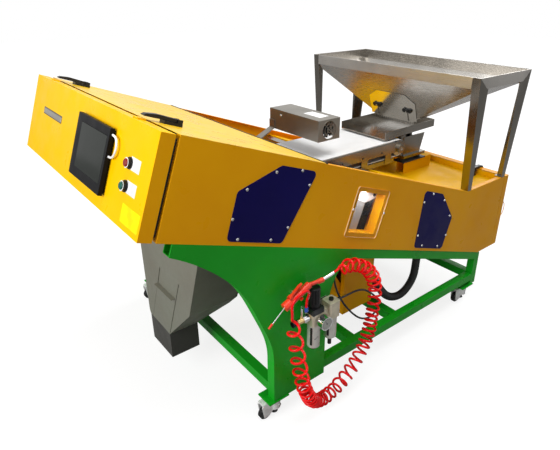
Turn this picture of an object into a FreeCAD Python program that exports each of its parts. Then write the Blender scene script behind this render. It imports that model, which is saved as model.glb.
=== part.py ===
import FreeCAD, Part
import math
import os

Vector = FreeCAD.Vector

# Belt-type optical colour sorter, in millimetres.
# While it is modelled, X runs along the belt from the control door (low X) to the
# feed hopper (high X), Y runs across the belt from the service side, and Z is up
# from the floor. The last lines move it so that its footprint's middle is at 0,0.
origin_x = 917.4
origin_y = 503.0

# Yellow housing: a shallow box on a slope, with a level tail under the hopper
body_width = 1100.0
body_tilt = 20.0
body_depth = 292.0
front_bottom_z = 887.0
tail_top_z = 655.0
tail_bottom_z = 275.0
body_end_x = 1807.0
sheet = 2.0
panel_return = 22.0
cover_length = 536.0
opening_end_x = 1190.0
deck_inset = 28.0
trim_size = 8.0

# Side openings and blue covers, along the slope and up from its lower edge
window_middle = (821.0, 142.0)
window_width = 150.0
window_height = 155.0
window_collar = 26.0
window_pane_border = 17.0
window_pane_thickness = 4.0
blue_cover_front = ((222.0, 13.0), (216.0, 165.0), (355.0, 262.0), (508.0, 262.0), (440.0, 13.0))
blue_cover_rear = ((1202.0, 13.0), (1146.0, 262.0), (1282.0, 262.0), (1420.0, 166.0), (1424.0, 13.0))
blue_cover_thickness = 1.5
blue_cover_corner = 16.0

# Control door at the high end and plain door at the tail
door_depth = 42.0
door_gap = 12.0
rear_door_depth = 36.0
rear_door_gap = 2.0
seal_width = 14.0
seal_inset = 12.0
hinge_pin_radius = 3.0
hinge_knuckle_radius = 6.0
hinge_length = 72.0
hinge_inset = 150.0
hinge_play = 0.05
leaf = 3.0
leaf_reach = 34.0

# Draw latches
latch_near_inset = 185.0
latch_far_inset = 140.0
rear_latch_y = 150.0
pull_wire_radius = 1.6
pull_height = 96.0
pull_reach = 42.0
pull_y = 12.0
pull_drop = 193.0
latch_width = 30.0
latch_base_length = 58.0
latch_base_height = 9.0
latch_lever_length = 112.0
latch_lever_height = 9.0
latch_pin_radius = 2.5
latch_overhang = 30.0

# Touch panel and push buttons on the door: across Y, and up the door
panel_middle_y = 384.0
panel_middle_h = 145.0
panel_width = 265.0
panel_height = 198.0
panel_depth = 20.0
screen_middle_y = 370.0
screen_middle_h = 148.0
screen_width = 211.0
screen_height = 143.0
screen_thickness = 2.0
button_y = 130.0
stop_button_h = 178.0
start_button_h = 114.0
bezel_radius = 14.5
bezel_height = 12.0
bezel_collar_radius = 17.0
bezel_collar_height = 4.0
cap_radius = 11.0
cap_height = 13.0
cap_play = 0.1
cap_travel = 4.0
cap_proud = 4.5
cap_chamfer = 1.5

# Green stand
tube = 40.0
tube_wall = 3.0
leg_plate = 3.0
leg_depth = 40.0
leg_left_x = 381.0
leg_right_x = 630.0
leg_end_s = 800.0
stand_foot_z = 84.0
rail_top_z = 152.0
post_end_x = 1706.0
cross_rail_x = (820.0, 1090.0)
slope_rail_start = 48.0
foot_plate = 5.0
foot_plate_length = 92.0
foot_plate_width = 76.0

# Levelling casters
caster_wheel_radius = 25.0
caster_wheel_width = 22.0
caster_wheel_chamfer = 3.0
caster_axle_radius = 4.0
caster_pin_radius = 9.0
caster_play = 0.05
caster_swivel_play = 0.5
caster_trail = 45.0
caster_plate = 4.0
caster_plate_length = 74.0
caster_plate_width = 58.0
caster_body_wall = 5.0
caster_disc_radius = 17.0
pad_radius = 15.0
pad_clearance = 9.0
dial_radius = 21.0
dial_height = 11.0

# Conveyor
line_y = 490.0
belt_top_z = 840.0
belt_width = 310.0
belt_thickness = 3.0
roller_radius = 37.0
tail_roller_x = 1391.0
head_roller_x = 500.0
roller_play = 0.05
roller_shaft_radius = 9.0
roller_end_gap = 4.0
conveyor_side_gap = 5.0
conveyor_plate = 4.0
conveyor_plate_height = 48.0
conveyor_beam = 20.0
conveyor_plate_past = 32.0
conveyor_plate_drop = 6.0
conveyor_holes = 6
conveyor_hole_radius = 5.0
beam_width = 28.0
beam_wall = 2.5
slider_thickness = 3.0
slider_gap = 0.5
hanger_height = 30.0
bearing_radius = 22.0
bearing_thickness = 12.0
motor_radius = 45.0
motor_length = 150.0
gearbox_length = 84.0
gearbox_width = 70.0
motor_gap = 0.3
motor_drop = 6.0
motor_grooves = 3
motor_groove_width = 6.0
motor_groove_depth = 4.0

# Feeder
tray_floor_z = 848.0
tray_inner_width = 284.0
tray_wall = 2.0
tray_wall_height = 36.0
tray_lip_x = 1303.0
tray_length = 368.0
tray_slope = 1.5
tray_lip = 22.0
feeder_tube_height = 60.0
feeder_tube_width = 47.0
feeder_tube_wall = 3.0
feeder_tube_x = (1512.0, 1732.0)
feeder_tube_offset = 82.0
mount_plate = 6.0
mount_radius = 16.0
mount_height = 16.0
vibrator_length = 150.0
vibrator_width = 160.0
vibrator_plate = 6.0
vibrator_start_x = 1506.0
spring_leaf = 3.0
spring_lean = 18.0

# Hopper
hopper_front_lean = 41.2
hopper_rear_lean = 59.0
hopper_rear_inset = 3.0
hopper_y = (0.0, 1020.0)
hopper_top_z = 1159.0
hopper_band = 48.0
hopper_sheet = 2.0
hopper_leg_foot = 27.0
hopper_leg_top = 60.0
hopper_leg_width = 38.0
throat_x = (1527.0, 1612.0)
throat_width = 250.0
throat_z = 905.0
gate_foot_drop = 22.0
gate_width = 290.0
gate_height_share = 0.69
gate_stud_share = 0.333
gate_slot_share = 0.413
gate_thickness = 2.0
gate_chamfer_width = 58.0
gate_chamfer_share = 0.253
gate_shoulder = 16.0
gate_slot_inset = 50.0
gate_stud_length = 16.5
gate_slot_width = 8.0
gate_stud_radius = 3.0
comb_width = 252.0
comb_tooth = 7.0
comb_depth = 9.0
comb_teeth = 18
nut_radius = 9.0
nut_height = 9.0
nut_wing_span = 55.0
nut_lobe_radius = 11.0
nut_web = 10.0
nut_wing_lift = 3.0
nut_wing_thickness = 4.0

# Static eliminator over the belt
ioniser_x = (895.0, 1017.0)
ioniser_y = (360.0, 690.0)
ioniser_z = (910.0, 1000.0)
ioniser_sheet = 1.5
fan_radius = 36.0
fan_hub_radius = 13.0
fan_thickness = 14.0
fan_blades = 7
guard_wire = 2.0
guard_rings = 3
guard_inner = 12.0
spindle_radius = 4.0
arm_plate = 4.0
arm_foot_x = 762.0
arm_foot_length = 38.0
arm_foot_rise = 10.0
arm_foot_depth = 34.0
arm_lap = 40.0

# Sorting head inside the housing
camera_box = (110.0, 330.0, 62.0)
camera_x = 318.0
camera_clearance = 28.0
lamp_radius = 14.0
ejector_box = (46.0, 330.0, 40.0)
ejector_x = 396.0
ejector_z = 762.0
nozzle_count = 16

# Grey outlet chutes
chute_sheet = 2.0
chute_front_x = 180.0
chute_back_x = 383.0
chute_y = (133.0, 600.0)
chute_shoulder_z = 686.0
chute_slant_z = 440.0
chute_slant_y = 227.0
chute_neck_z = 244.0
spout_y = (419.0, 590.0)
spout_back_x = 305.0
spout_bottom_z = 127.0
reject_back_x = 545.0
reject_neck_z = 380.0
reject_bottom_z = 300.0
flap_foot_y = (420.0, 562.0)
flap_z = (252.0, 462.0)
flap_lean = 23.8
flap_thickness = 2.0
flap_lip = 16.0
flap_travel = 90.0

# Yellow reject bin between the legs
bin_x = (837.0, 1017.0)
bin_y = (112.0, 470.0)
bin_bottom_z = 212.0
bin_slide_x = 751.0
bin_slide_z = (300.0, 452.0)
bin_slide_y = 300.0

# Compressed air unit on the near leg
air_y = -42.0
air_x = (530.0, 612.0)
air_block = 50.0
air_block_chamfer = 5.0
regulator_z = 409.0
regulator_height = 48.0
lubricator_z = 405.0
lubricator_height = 66.0
bonnet_height = 24.0
bowl_radius = 23.5
bowl_taper = 9.0
bowl_length = (107.0, 100.0)
drain_radius = 7.5
drain_length = (8.0, 30.0)
knob_radius = 21.0
knob_height = 77.6
knob_play = 0.4
knob_spindle_radius = 9.0
knob_spindle_length = 40.0
knob_flutes = 12
gauge_radius = 26.0
gauge_depth = 26.0
gauge_offset = 13.0
gauge_z = 428.0
gauge_front = 56.0
air_port_radius = 8.3
air_port_length = 16.0
port_z = 444.0
outlet_z = 456.0
outlet_length = 22.0
outlet_radius = 9.0
valve_length = 75.0
valve_radius = 15.0
filler_radius = 9.0
air_bracket = 4.0
fitting_x = 472.0
fitting_z = 512.0
fitting_y = -66.0
fitting_radius = 6.0

# Blow gun, hung on a hook on the near leg
gun_y = -46.0
gun_body_length = 118.0
gun_grip_radius = 13.0
gun_head_length = 30.0
gun_head_step = 3.0
gun_nozzle_length = 62.0
gun_nozzle_drop = 16.0
gun_nozzle_radius = 2.5
gun_tip_length = 20.0
gun_tip_radius = 4.0
coupler_radius = 7.0
coupler_sleeve = (14.0, 8.0)
coupler_bend = (56.0, -5.0)
hook_span = (46.0, 58.0)
hook_thickness = 5.0
gun_end = (500.0, 582.0)
gun_pitch = 25.0
trigger_pin = (81.0, 19.0)
trigger_pin_radius = 1.8

# Hoses and the panel's lead: diameters, and routes chosen by hand
coil_diameter = 62.0
coil_hose_diameter = 8.0
suction_diameter = 38.0
air_hose_diameter = 8.0
lead_diameter = 7.0
lead_top_h = 226.0
coil_route = ((613, -46, 586), (689, -46, 598), (788, -60, 545), (836, -60, 440), (826, -60, 330),
              (812, -60, 225), (756, -62, 132), (655, -68, 60), (516, -78, 50), (452, -86, 168),
              (424, -92, 290), (404, -94, 410), (388, -94, 540))
coil_tail_route = ((388, -94, 540), (384, -94, 572.5), (408, -96, 602), (446, -94, 606), (472, -84, 580),
                   (472, -66, 540), (472, -66, 512))
suction_route = ((1338, 120, 386), (1338, 120, 290), (1332, 121, 195), (1258, 124, 130),
                 (1165, 130, 150), (1098, 137, 226), (1047, 143, 312))
air_hose_route = ((659, -42, 456), (700, -42, 456), (760, -26, 440), (824, -8, 410), (880, 0, 366),
                  (928, 4, 316), (946, 8, 264), (912, 14, 222), (856, 22, 232), (806, 36, 282),
                  (762, 52, 350), (732, 64, 430), (724, 70, 520), (724, 70, 604))


def rad(degrees):
    return math.radians(degrees)


def box(x0, x1, y0, y1, z0, z1):
    return Part.makeBox(x1 - x0, y1 - y0, z1 - z0, Vector(x0, y0, z0))


def rod(radius, start, end):
    start = Vector(*start)
    way = Vector(*end).sub(start)
    return Part.makeCylinder(radius, way.Length, start, way)


def ring(outer, inner, start, end):
    way = Vector(*end).sub(Vector(*start)).normalize()
    lead_in = Vector(*start).sub(way)
    lead_out = Vector(*end).add(way)
    return rod(outer, start, end).cut(rod(inner, tuple(lead_in), tuple(lead_out)))


def plate_xz(points, y0, y1):
    corners = [Vector(x, y0, z) for x, z in points]
    face = Part.Face(Part.makePolygon(corners + corners[:1]))
    return face.extrude(Vector(0, y1 - y0, 0))


def plate_yz(points, x0, x1):
    corners = [Vector(x0, y, z) for y, z in points]
    face = Part.Face(Part.makePolygon(corners + corners[:1]))
    return face.extrude(Vector(x1 - x0, 0, 0))


def rounded_plate_xz(points, y0, y1, radius):
    solid = plate_xz(points, y0, y1)
    corners = [edge for edge in solid.Edges
               if abs(edge.tangentAt(edge.FirstParameter).y) > 0.99]
    return solid.makeFillet(radius, corners)


def inset_points(points, distance):
    """A closed outline moved inwards by one distance; the corners are mitred."""
    wire = Part.makePolygon([Vector(x, 0, z) for x, z in points + points[:1]])
    return Part.Face(wire).makeOffset2D(-distance, join=2)


def thick_line(points, thickness):
    """Outline of a folded sheet: its lower line and the same line raised by the sheet."""
    raised = []
    for i, (x, z) in enumerate(points):
        before = points[max(i - 1, 0)]
        after = points[min(i + 1, len(points) - 1)]
        first = math.atan2(z - before[1], x - before[0]) if i else None
        second = math.atan2(after[1] - z, after[0] - x) if i < len(points) - 1 else None
        first = second if first is None else first
        second = first if second is None else second
        middle = (first + second) / 2
        reach = thickness / math.cos((second - first) / 2)
        raised.append((x - reach * math.sin(middle), z + reach * math.cos(middle)))
    return list(points) + raised[::-1]


def group(*solids):
    return Part.makeCompound([solid for item in solids for solid in item.Solids])


def fuse(*solids):
    shape = solids[0].multiFuse(list(solids[1:]))
    return shape.removeSplitter()


def incline(s, h):
    """World x and z of a point s along the slope and h square to it."""
    tilt = rad(body_tilt)
    x = s * math.cos(tilt) + h * math.sin(tilt)
    z = front_bottom_z - s * math.sin(tilt) + h * math.cos(tilt)
    return x, z


def on_incline(shape):
    """Moves a shape that was built with x along the slope and z square to it."""
    turn = FreeCAD.Rotation(Vector(0, 1, 0), body_tilt)
    place = FreeCAD.Placement(Vector(0, 0, front_bottom_z), turn)
    shape = shape.copy()
    shape.transformShape(place.toMatrix())
    return shape


def mirror_y(shape, middle):
    return shape.mirror(Vector(0, middle, 0), Vector(0, 1, 0))


# Places that several pieces share
sin_tilt = math.sin(rad(body_tilt))
cos_tilt = math.cos(rad(body_tilt))
tan_tilt = math.tan(rad(body_tilt))
kink_s = (front_bottom_z + body_depth * cos_tilt - tail_top_z) / sin_tilt
heel_s = (front_bottom_z - tail_bottom_z) / sin_tilt
kink_x = incline(kink_s, body_depth)[0]
heel_x = incline(heel_s, 0)[0]
deck_z = tail_top_z - deck_inset
hinge_axis_s = -door_gap / 2
hinge_axis_h = -hinge_knuckle_radius - 1.0
rear_hinge_x = body_end_x + rear_door_gap / 2
rear_hinge_z = tail_bottom_z - hinge_knuckle_radius - 1.0
body_middle_y = body_width / 2
hinge_ys = (hinge_inset, body_width - hinge_inset)
latch_y = (latch_near_inset, body_width - latch_far_inset)
rear_foot_x = body_end_x - hopper_rear_inset
hopper_x = (kink_x - hopper_front_lean, rear_foot_x + hopper_rear_lean)


def slope_top_z(x):
    """Height of the side panel's sloping top edge at x."""
    return incline(kink_s, body_depth)[1] + (kink_x - x) * tan_tilt


def side_outline():
    return [incline(0, 0), incline(0, body_depth), incline(kink_s, body_depth),
            (body_end_x, tail_top_z), (body_end_x, tail_bottom_z), incline(heel_s, 0)]


def side_panel():
    """Folded pan: one wall with returns round its whole edge."""
    outer = plate_xz(side_outline(), 0, panel_return)
    inner = inset_points(side_outline(), sheet).extrude(Vector(0, panel_return, 0))
    inner.translate(Vector(0, sheet, 0))
    return outer.cut(inner)


def window_box(width, height, y0, y1):
    s, h = window_middle
    block = box(s - width / 2, s + width / 2, y0, y1, h - height / 2, h + height / 2)
    return on_incline(block)


def side_panel_near():
    collar = window_box(window_width + 2 * sheet, window_height + 2 * sheet, 0, window_collar)
    panel = fuse(side_panel(), collar)
    return panel.cut(window_box(window_width, window_height, -1, window_collar + 1))


def side_panel_far():
    return mirror_y(side_panel(), body_middle_y)


def window_pane():
    width = window_width + 2 * window_pane_border
    height = window_height + 2 * window_pane_border
    pane = window_box(width, height, -window_pane_thickness, 0)
    corners = [edge for edge in pane.Edges
               if abs(edge.tangentAt(edge.FirstParameter).y) > 0.99]
    return pane.makeFillet(window_pane_border * 0.6, corners)


def blue_covers():
    plates = []
    for outline in (blue_cover_front, blue_cover_rear):
        plate = rounded_plate_xz(outline, -blue_cover_thickness, 0, blue_cover_corner)
        plate = on_incline(plate)
        plates += [plate, mirror_y(plate, body_middle_y)]
    return group(*plates)


def bottom_pan():
    """Folded floor of the housing, laid on the side panels' returns."""
    lift = sheet
    front = incline(sheet, lift)
    fold = (heel_x + lift * math.tan(rad(body_tilt / 2)), tail_bottom_z + lift)
    end = (body_end_x - sheet, tail_bottom_z + lift)
    pan = plate_xz(thick_line([front, fold, end], sheet), sheet, body_width - sheet)
    chute_way = box(chute_front_x + chute_sheet, reject_back_x - chute_sheet,
                    chute_y[0] + chute_sheet, chute_y[1] - chute_sheet, 0, front_bottom_z)
    pan = pan.cut(chute_way)
    x, y, z = suction_route[0]
    hole = rod(suction_diameter / 2 - 3, (x, y, z - 1), (x, y, z + 60))
    collar = rod(suction_diameter / 2 + 4, (x, y, z), (x, y, z + 34))
    gx, gy, gz = air_hose_route[-1]
    gland = rod(9, (gx, gy, gz), (gx, gy, gz + 40))
    return fuse(pan, collar, gland).cut(hole)


def top_cover():
    """Lid over the sorting head, with its ends turned down inside the housing."""
    lid = box(0, cover_length, 0, body_width, body_depth, body_depth + sheet)
    turned = box(cover_length - sheet, cover_length, panel_return + 1,
                 body_width - panel_return - 1, body_depth - panel_return, body_depth)
    return on_incline(fuse(lid, turned))


def opening_trim():
    """Black rubber section pushed over the lid's free edge."""
    start = cover_length + 0.3
    over = box(start, start + trim_size, 0, body_width, body_depth, body_depth + sheet + trim_size / 4)
    under = box(start, start + trim_size, panel_return + 1, body_width - panel_return - 1,
                body_depth - trim_size / 2, body_depth)
    return on_incline(fuse(over, under))


def rear_deck():
    """Sunk cover behind the belt opening: slope, level deck, and a turned-up end."""
    start_x = opening_end_x
    under = sheet
    slope_start = (start_x, slope_top_z(start_x) - deck_inset - under)
    fold_x = kink_x - deck_inset * math.tan(rad(body_tilt / 2))
    fold = (fold_x, deck_z - under)
    end = (body_end_x - sheet - 0.5, deck_z - under)
    deck = plate_xz(thick_line([slope_start, fold, end], sheet), sheet, body_width - sheet)
    rise = box(end[0] - sheet, end[0], panel_return, body_width - panel_return,
               deck_z, tail_top_z - sheet)
    front = box(start_x, start_x + sheet, panel_return, body_width - panel_return,
                slope_start[1] - 60, slope_start[1] + sheet / 2)
    return fuse(deck, rise, front)


def door_seal():
    """Black frame that closes the gap behind the control door."""
    outer = box(-door_gap + 0.5, 0, seal_inset, body_width - seal_inset,
                seal_inset, body_depth - seal_inset)
    way = box(-door_gap, 1, seal_inset + seal_width, body_width - seal_inset - seal_width,
              seal_inset + seal_width, body_depth - seal_inset - seal_width)
    return on_incline(outer.cut(way))


def hinge_knuckles(x, z, side, moving, seat):
    """Knuckles and leaves of both hinges; side is the leaf's way in x, seat its upper face."""
    third = hinge_length / 3
    bore = hinge_pin_radius + (hinge_play if moving else 0)
    shapes = []
    for middle in hinge_ys:
        if moving:
            spans = [(middle - third / 2 + 0.5, middle + third / 2 - 0.5)]
        else:
            spans = [(middle - hinge_length / 2, middle - third / 2),
                     (middle + third / 2, middle + hinge_length / 2)]
        for y0, y1 in spans:
            barrel = rod(hinge_knuckle_radius, (x, y0, z), (x, y1, z))
            x_far = x + side * leaf_reach
            flap = box(min(x, x_far), max(x, x_far), y0, y1, seat - leaf, seat)
            web = box(min(x, x + side * hinge_knuckle_radius), max(x, x + side * hinge_knuckle_radius),
                      y0, y1, z, seat)
            hole = rod(bore, (x, y0 - 1, z), (x, y1 + 1, z))
            shapes.append(fuse(barrel, flap, web).cut(hole))
    return shapes


def hinge_pins(x, z):
    half = hinge_length / 2
    return [rod(hinge_pin_radius, (x, middle - half, z), (x, middle + half, z)) for middle in hinge_ys]


def front_door():
    outer = box(-door_gap - door_depth, -door_gap, 0, body_width, 0, body_depth)
    inner = box(-door_gap - door_depth + sheet, -door_gap + 1, sheet, body_width - sheet,
                sheet, body_depth - sheet)
    shell = outer.cut(inner)
    keepers = []
    for y in latch_y:
        keepers.append(box(-door_gap - latch_overhang, -door_gap - 4, y - latch_width / 2,
                           y + latch_width / 2, body_depth, body_depth + 5))
    leaves = hinge_knuckles(hinge_axis_s, hinge_axis_h, -1, True, 0.0)
    return on_incline(group(shell, *(keepers + leaves)))


def door_hinges():
    front = hinge_knuckles(hinge_axis_s, hinge_axis_h, 1, False, sheet)
    front += hinge_pins(hinge_axis_s, hinge_axis_h)
    rear = hinge_knuckles(rear_hinge_x, rear_hinge_z, -1, False, tail_bottom_z + sheet)
    rear += hinge_pins(rear_hinge_x, rear_hinge_z)
    return group(on_incline(group(*front)), *rear)


def rear_door():
    start = body_end_x + rear_door_gap
    end = start + rear_door_depth
    outer = box(start, end, 0, body_width, tail_bottom_z, tail_top_z)
    inner = box(start - 1, end - sheet, sheet, body_width - sheet,
                tail_bottom_z + sheet, tail_top_z - sheet)
    shell = outer.cut(inner)
    keeper_y = rear_latch_y
    keeper = box(start + 4, start + latch_overhang, keeper_y - latch_width / 2,
                 keeper_y + latch_width / 2, tail_top_z, tail_top_z + 4)
    leaves = hinge_knuckles(rear_hinge_x, rear_hinge_z, 1, True, tail_bottom_z)
    return group(shell, keeper, pull_loop(end), *leaves)


def pull_loop(x):
    """Thin wire loop that the tail door is pulled open by."""
    middle_z = tail_top_z - pull_drop
    top = Vector(x, pull_y, middle_z + pull_height / 2)
    tip = Vector(x + pull_reach, pull_y, middle_z)
    low = Vector(x, pull_y, middle_z - pull_height / 2)
    path = Part.Wire([Part.Arc(top, tip, low).toShape()])
    start = path.Edges[0].tangentAt(path.Edges[0].FirstParameter)
    section = Part.Wire([Part.makeCircle(pull_wire_radius, top, start)])
    loop = path.makePipeShell([section], True, True)
    half = 5 * pull_wire_radius
    return loop.common(box(x, x + 2 * pull_reach, pull_y - half, pull_y + half, 0, tail_top_z))


def latch_base(s, y, h):
    """Latch block with two ears; its pin is at the block's far end."""
    block = box(s, s + latch_base_length, y - latch_width / 2, y + latch_width / 2,
                h, h + latch_base_height)
    ears = []
    ear = 4.0
    rise = latch_lever_height + 2
    pin_s = s + latch_base_length - 9
    for side in (-1, 1):
        edge = y + side * latch_width / 2
        ears.append(box(pin_s - 8, pin_s + 8, min(edge, edge - side * ear),
                        max(edge, edge - side * ear), h, h + latch_base_height + rise))
    pin_h = h + latch_base_height + 1 + latch_lever_height / 2
    pin = rod(latch_pin_radius, (pin_s, y - latch_width / 2, pin_h), (pin_s, y + latch_width / 2, pin_h))
    return fuse(block, *(ears + [pin]))


def latch_lever(s, y, h):
    """Curved lever lying on the block, with its nose over the keeper."""
    pin_s = s + latch_base_length - 9
    pin_h = h + latch_base_height + 1 + latch_lever_height / 2
    half = latch_width / 2 - 4.5
    low = pin_h - latch_lever_height / 2
    nose = pin_s - latch_lever_length
    high = low + latch_lever_height
    profile = [(pin_s + 3.5, low + 1.5), (pin_s + 2.5, high), (nose + 42, high + 3), (nose + 8, high - 1),
               (nose, low + 2), (nose + 3, low), (pin_s + 2.5, low)]
    arm = plate_xz(profile, y - half, y + half)
    hole = rod(latch_pin_radius + 0.05, (pin_s, y - half - 1, pin_h), (pin_s, y + half + 1, pin_h))
    return arm.cut(hole)


latch_front_s = 38.0
latch_front_h = body_depth + sheet
rear_latch_x = body_end_x - 26.0
rear_latch_z = deck_z + 22.0


def latch_bases():
    front = [latch_base(latch_front_s, y, latch_front_h) for y in latch_y]
    block = latch_base(0, rear_latch_y, rear_latch_z)
    riser = box(2, latch_base_length - 2, rear_latch_y - latch_width / 2 + 2,
                rear_latch_y + latch_width / 2 - 2, deck_z, rear_latch_z)
    rear = turn_latch(fuse(block, riser))
    return group(on_incline(group(*front)), rear)


def turn_latch(shape):
    """Turns a latch that points down the slope to point at the tail door."""
    shape = shape.mirror(Vector(0, 0, 0), Vector(1, 0, 0))
    shape.translate(Vector(rear_latch_x, 0, 0))
    return shape


def latch_lever_front(index):
    return on_incline(latch_lever(latch_front_s, latch_y[index], latch_front_h))


def latch_lever_rear():
    return turn_latch(latch_lever(0, rear_latch_y, rear_latch_z))


door_face_s = -door_gap - door_depth


def touch_panel():
    """Panel housing with a stepped back and a recess for its screen."""
    y0 = panel_middle_y - panel_width / 2
    y1 = panel_middle_y + panel_width / 2
    h0 = panel_middle_h - panel_height / 2
    h1 = panel_middle_h + panel_height / 2
    rim = 6.0
    front = box(door_face_s - panel_depth, door_face_s - rim, y0, y1, h0, h1)
    back = box(door_face_s - rim, door_face_s, y0 + rim, y1 - rim, h0 + rim, h1 - rim)
    body = fuse(front, back)
    half_width = screen_width / 2
    half_height = screen_height / 2
    recess = box(door_face_s - panel_depth - 1, door_face_s - panel_depth + screen_thickness,
                 screen_middle_y - half_width, screen_middle_y + half_width,
                 screen_middle_h - half_height, screen_middle_h + half_height)
    play = 0.3
    glass = box(door_face_s - panel_depth + 0.4, door_face_s - panel_depth + screen_thickness,
                screen_middle_y - half_width + play, screen_middle_y + half_width - play,
                screen_middle_h - half_height + play, screen_middle_h + half_height - play)
    return on_incline(group(body.cut(recess), glass))


def button_bezels():
    shapes = []
    for h in (stop_button_h, start_button_h):
        collar = rod(bezel_collar_radius, (door_face_s, button_y, h),
                     (door_face_s - bezel_collar_height, button_y, h))
        sleeve = rod(bezel_radius, (door_face_s, button_y, h), (door_face_s - bezel_height, button_y, h))
        well = rod(cap_radius + cap_play, (door_face_s - bezel_height - 1, button_y, h),
                   (door_face_s - bezel_height + cap_height - 4, button_y, h))
        shapes.append(fuse(collar, sleeve).cut(well))
    return on_incline(group(*shapes))


def button_cap(h):
    start = door_face_s - bezel_height - cap_proud
    foot = start + cap_height - cap_travel
    face = Part.makeCone(cap_radius - cap_chamfer, cap_radius, cap_chamfer, Vector(start, button_y, h),
                         Vector(1, 0, 0))
    cap = rod(cap_radius, (start + cap_chamfer, button_y, h), (foot, button_y, h))
    return on_incline(fuse(face, cap))


def hollow_tube(x0, x1, y0, y1, z0, z1, wall, way):
    outer = box(x0, x1, y0, y1, z0, z1)
    if way == "x":
        inner = box(x0 - 1, x1 + 1, y0 + wall, y1 - wall, z0 + wall, z1 - wall)
    elif way == "y":
        inner = box(x0 + wall, x1 - wall, y0 - 1, y1 + 1, z0 + wall, z1 - wall)
    else:
        inner = box(x0 + wall, x1 - wall, y0 + wall, y1 - wall, z0 - 1, z1 + 1)
    return outer.cut(inner)


def leg_curves():
    """Left and right edges of the near leg, a column that flares out under the slope."""
    top_x, top_z = incline(slope_rail_start, -tube)
    end_x, end_z = incline(leg_end_s, -tube)
    left = Part.BSplineCurve()
    left.interpolate([Vector(top_x, 0, top_z), Vector(165, 0, 733), Vector(257, 0, 623),
                      Vector(329, 0, 470), Vector(369, 0, 365), Vector(leg_left_x, 0, 262)])
    right = Part.BSplineCurve()
    right.interpolate([Vector(leg_right_x, 0, 262), Vector(637, 0, 390), Vector(660, 0, 500),
                       Vector(701, 0, 556), Vector(end_x, 0, end_z)])
    return left, right


def shifted_curve(curve, distance):
    """The same curve moved sideways by one distance, through twenty points."""
    points = []
    for i in range(21):
        t = curve.FirstParameter + (curve.LastParameter - curve.FirstParameter) * i / 20
        way = curve.tangent(t)[0]
        points.append(curve.value(t).add(Vector(way.z, 0, -way.x) * distance))
    moved = Part.BSplineCurve()
    moved.interpolate(points)
    return moved


def curved_flange(curve, distance, low_z):
    """Flange along one curved edge and straight down to the foot."""
    moved = shifted_curve(curve, distance)
    ends = [curve.StartPoint, curve.EndPoint, moved.EndPoint, moved.StartPoint]
    edges = [curve.toShape(), Part.makeLine(ends[1], ends[2]), moved.toShape(),
             Part.makeLine(ends[3], ends[0])]
    flange = Part.Face(Part.Wire(edges)).extrude(Vector(0, leg_depth, 0))
    low = min((ends[0], ends[1], ends[2], ends[3]), key=lambda end: end.z).z
    xs = sorted((leg_left_x, leg_left_x + leg_plate)) if curve.StartPoint.x < 300 else sorted(
        (leg_right_x - leg_plate, leg_right_x))
    return fuse(flange, box(xs[0], xs[1], 0, leg_depth, low_z, low + 0.5))


def stand_leg():
    """Folded leg: a face plate with flanges along both curved edges."""
    left, right = leg_curves()
    top_x, top_z = incline(slope_rail_start, 0)
    end_x, end_z = incline(leg_end_s, 0)
    low_z = stand_foot_z + foot_plate
    foot_left = Vector(leg_left_x, 0, low_z)
    foot_right = Vector(leg_right_x, 0, low_z)
    edges = [Part.makeLine(Vector(top_x, 0, top_z), left.StartPoint), left.toShape(),
             Part.makeLine(left.EndPoint, foot_left), Part.makeLine(foot_left, foot_right),
             Part.makeLine(foot_right, right.StartPoint), right.toShape(),
             Part.makeLine(right.EndPoint, Vector(end_x, 0, end_z)),
             Part.makeLine(Vector(end_x, 0, end_z), Vector(top_x, 0, top_z))]
    web = Part.Face(Part.Wire(edges)).extrude(Vector(0, leg_plate, 0))
    leg = fuse(web, curved_flange(left, -leg_plate, low_z), curved_flange(right, -leg_plate, low_z))
    rail_way = on_incline(box(slope_rail_start - tube, leg_end_s + tube, leg_plate, leg_depth + 1,
                              -tube - 0.2, tube))
    low_way = box(leg_left_x + leg_plate, leg_right_x + 1, leg_plate, leg_depth + 1,
                  rail_top_z - tube - 0.2, rail_top_z + 0.2)
    return leg.cut(rail_way).cut(low_way)


def stand_legs():
    leg = stand_leg()
    return group(leg, mirror_y(leg, body_middle_y))


def stand_base_frame():
    """Level rails, each a separate tube welded to the next, and four foot plates."""
    z0 = rail_top_z - tube
    z1 = rail_top_z
    inner_y0 = tube
    inner_y1 = body_width - tube
    start_x = leg_left_x + leg_plate + 0.5
    near = hollow_tube(start_x, post_end_x, leg_plate + 0.2, tube, z0, z1, tube_wall, "x")
    tubes = [near, mirror_y(near, body_middle_y)]
    for x in (leg_left_x + leg_plate + 0.5, cross_rail_x[0] - tube / 2, cross_rail_x[1] - tube / 2,
              post_end_x - tube):
        tubes.append(hollow_tube(x, x + tube, inner_y0, inner_y1, z0, z1, tube_wall, "y"))
    plates = []
    for x, y in caster_places():
        plates.append(box(x - foot_plate_length / 2, x + foot_plate_length / 2,
                          y - foot_plate_width / 2, y + foot_plate_width / 2,
                          stand_foot_z, stand_foot_z + foot_plate))
    blocks = []
    for y0 in (leg_plate, body_width - tube):
        blocks.append(box(post_end_x - tube, post_end_x, y0, y0 + tube - leg_plate,
                          stand_foot_z + foot_plate, z0))
    return group(*(tubes + plates + blocks))


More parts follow.
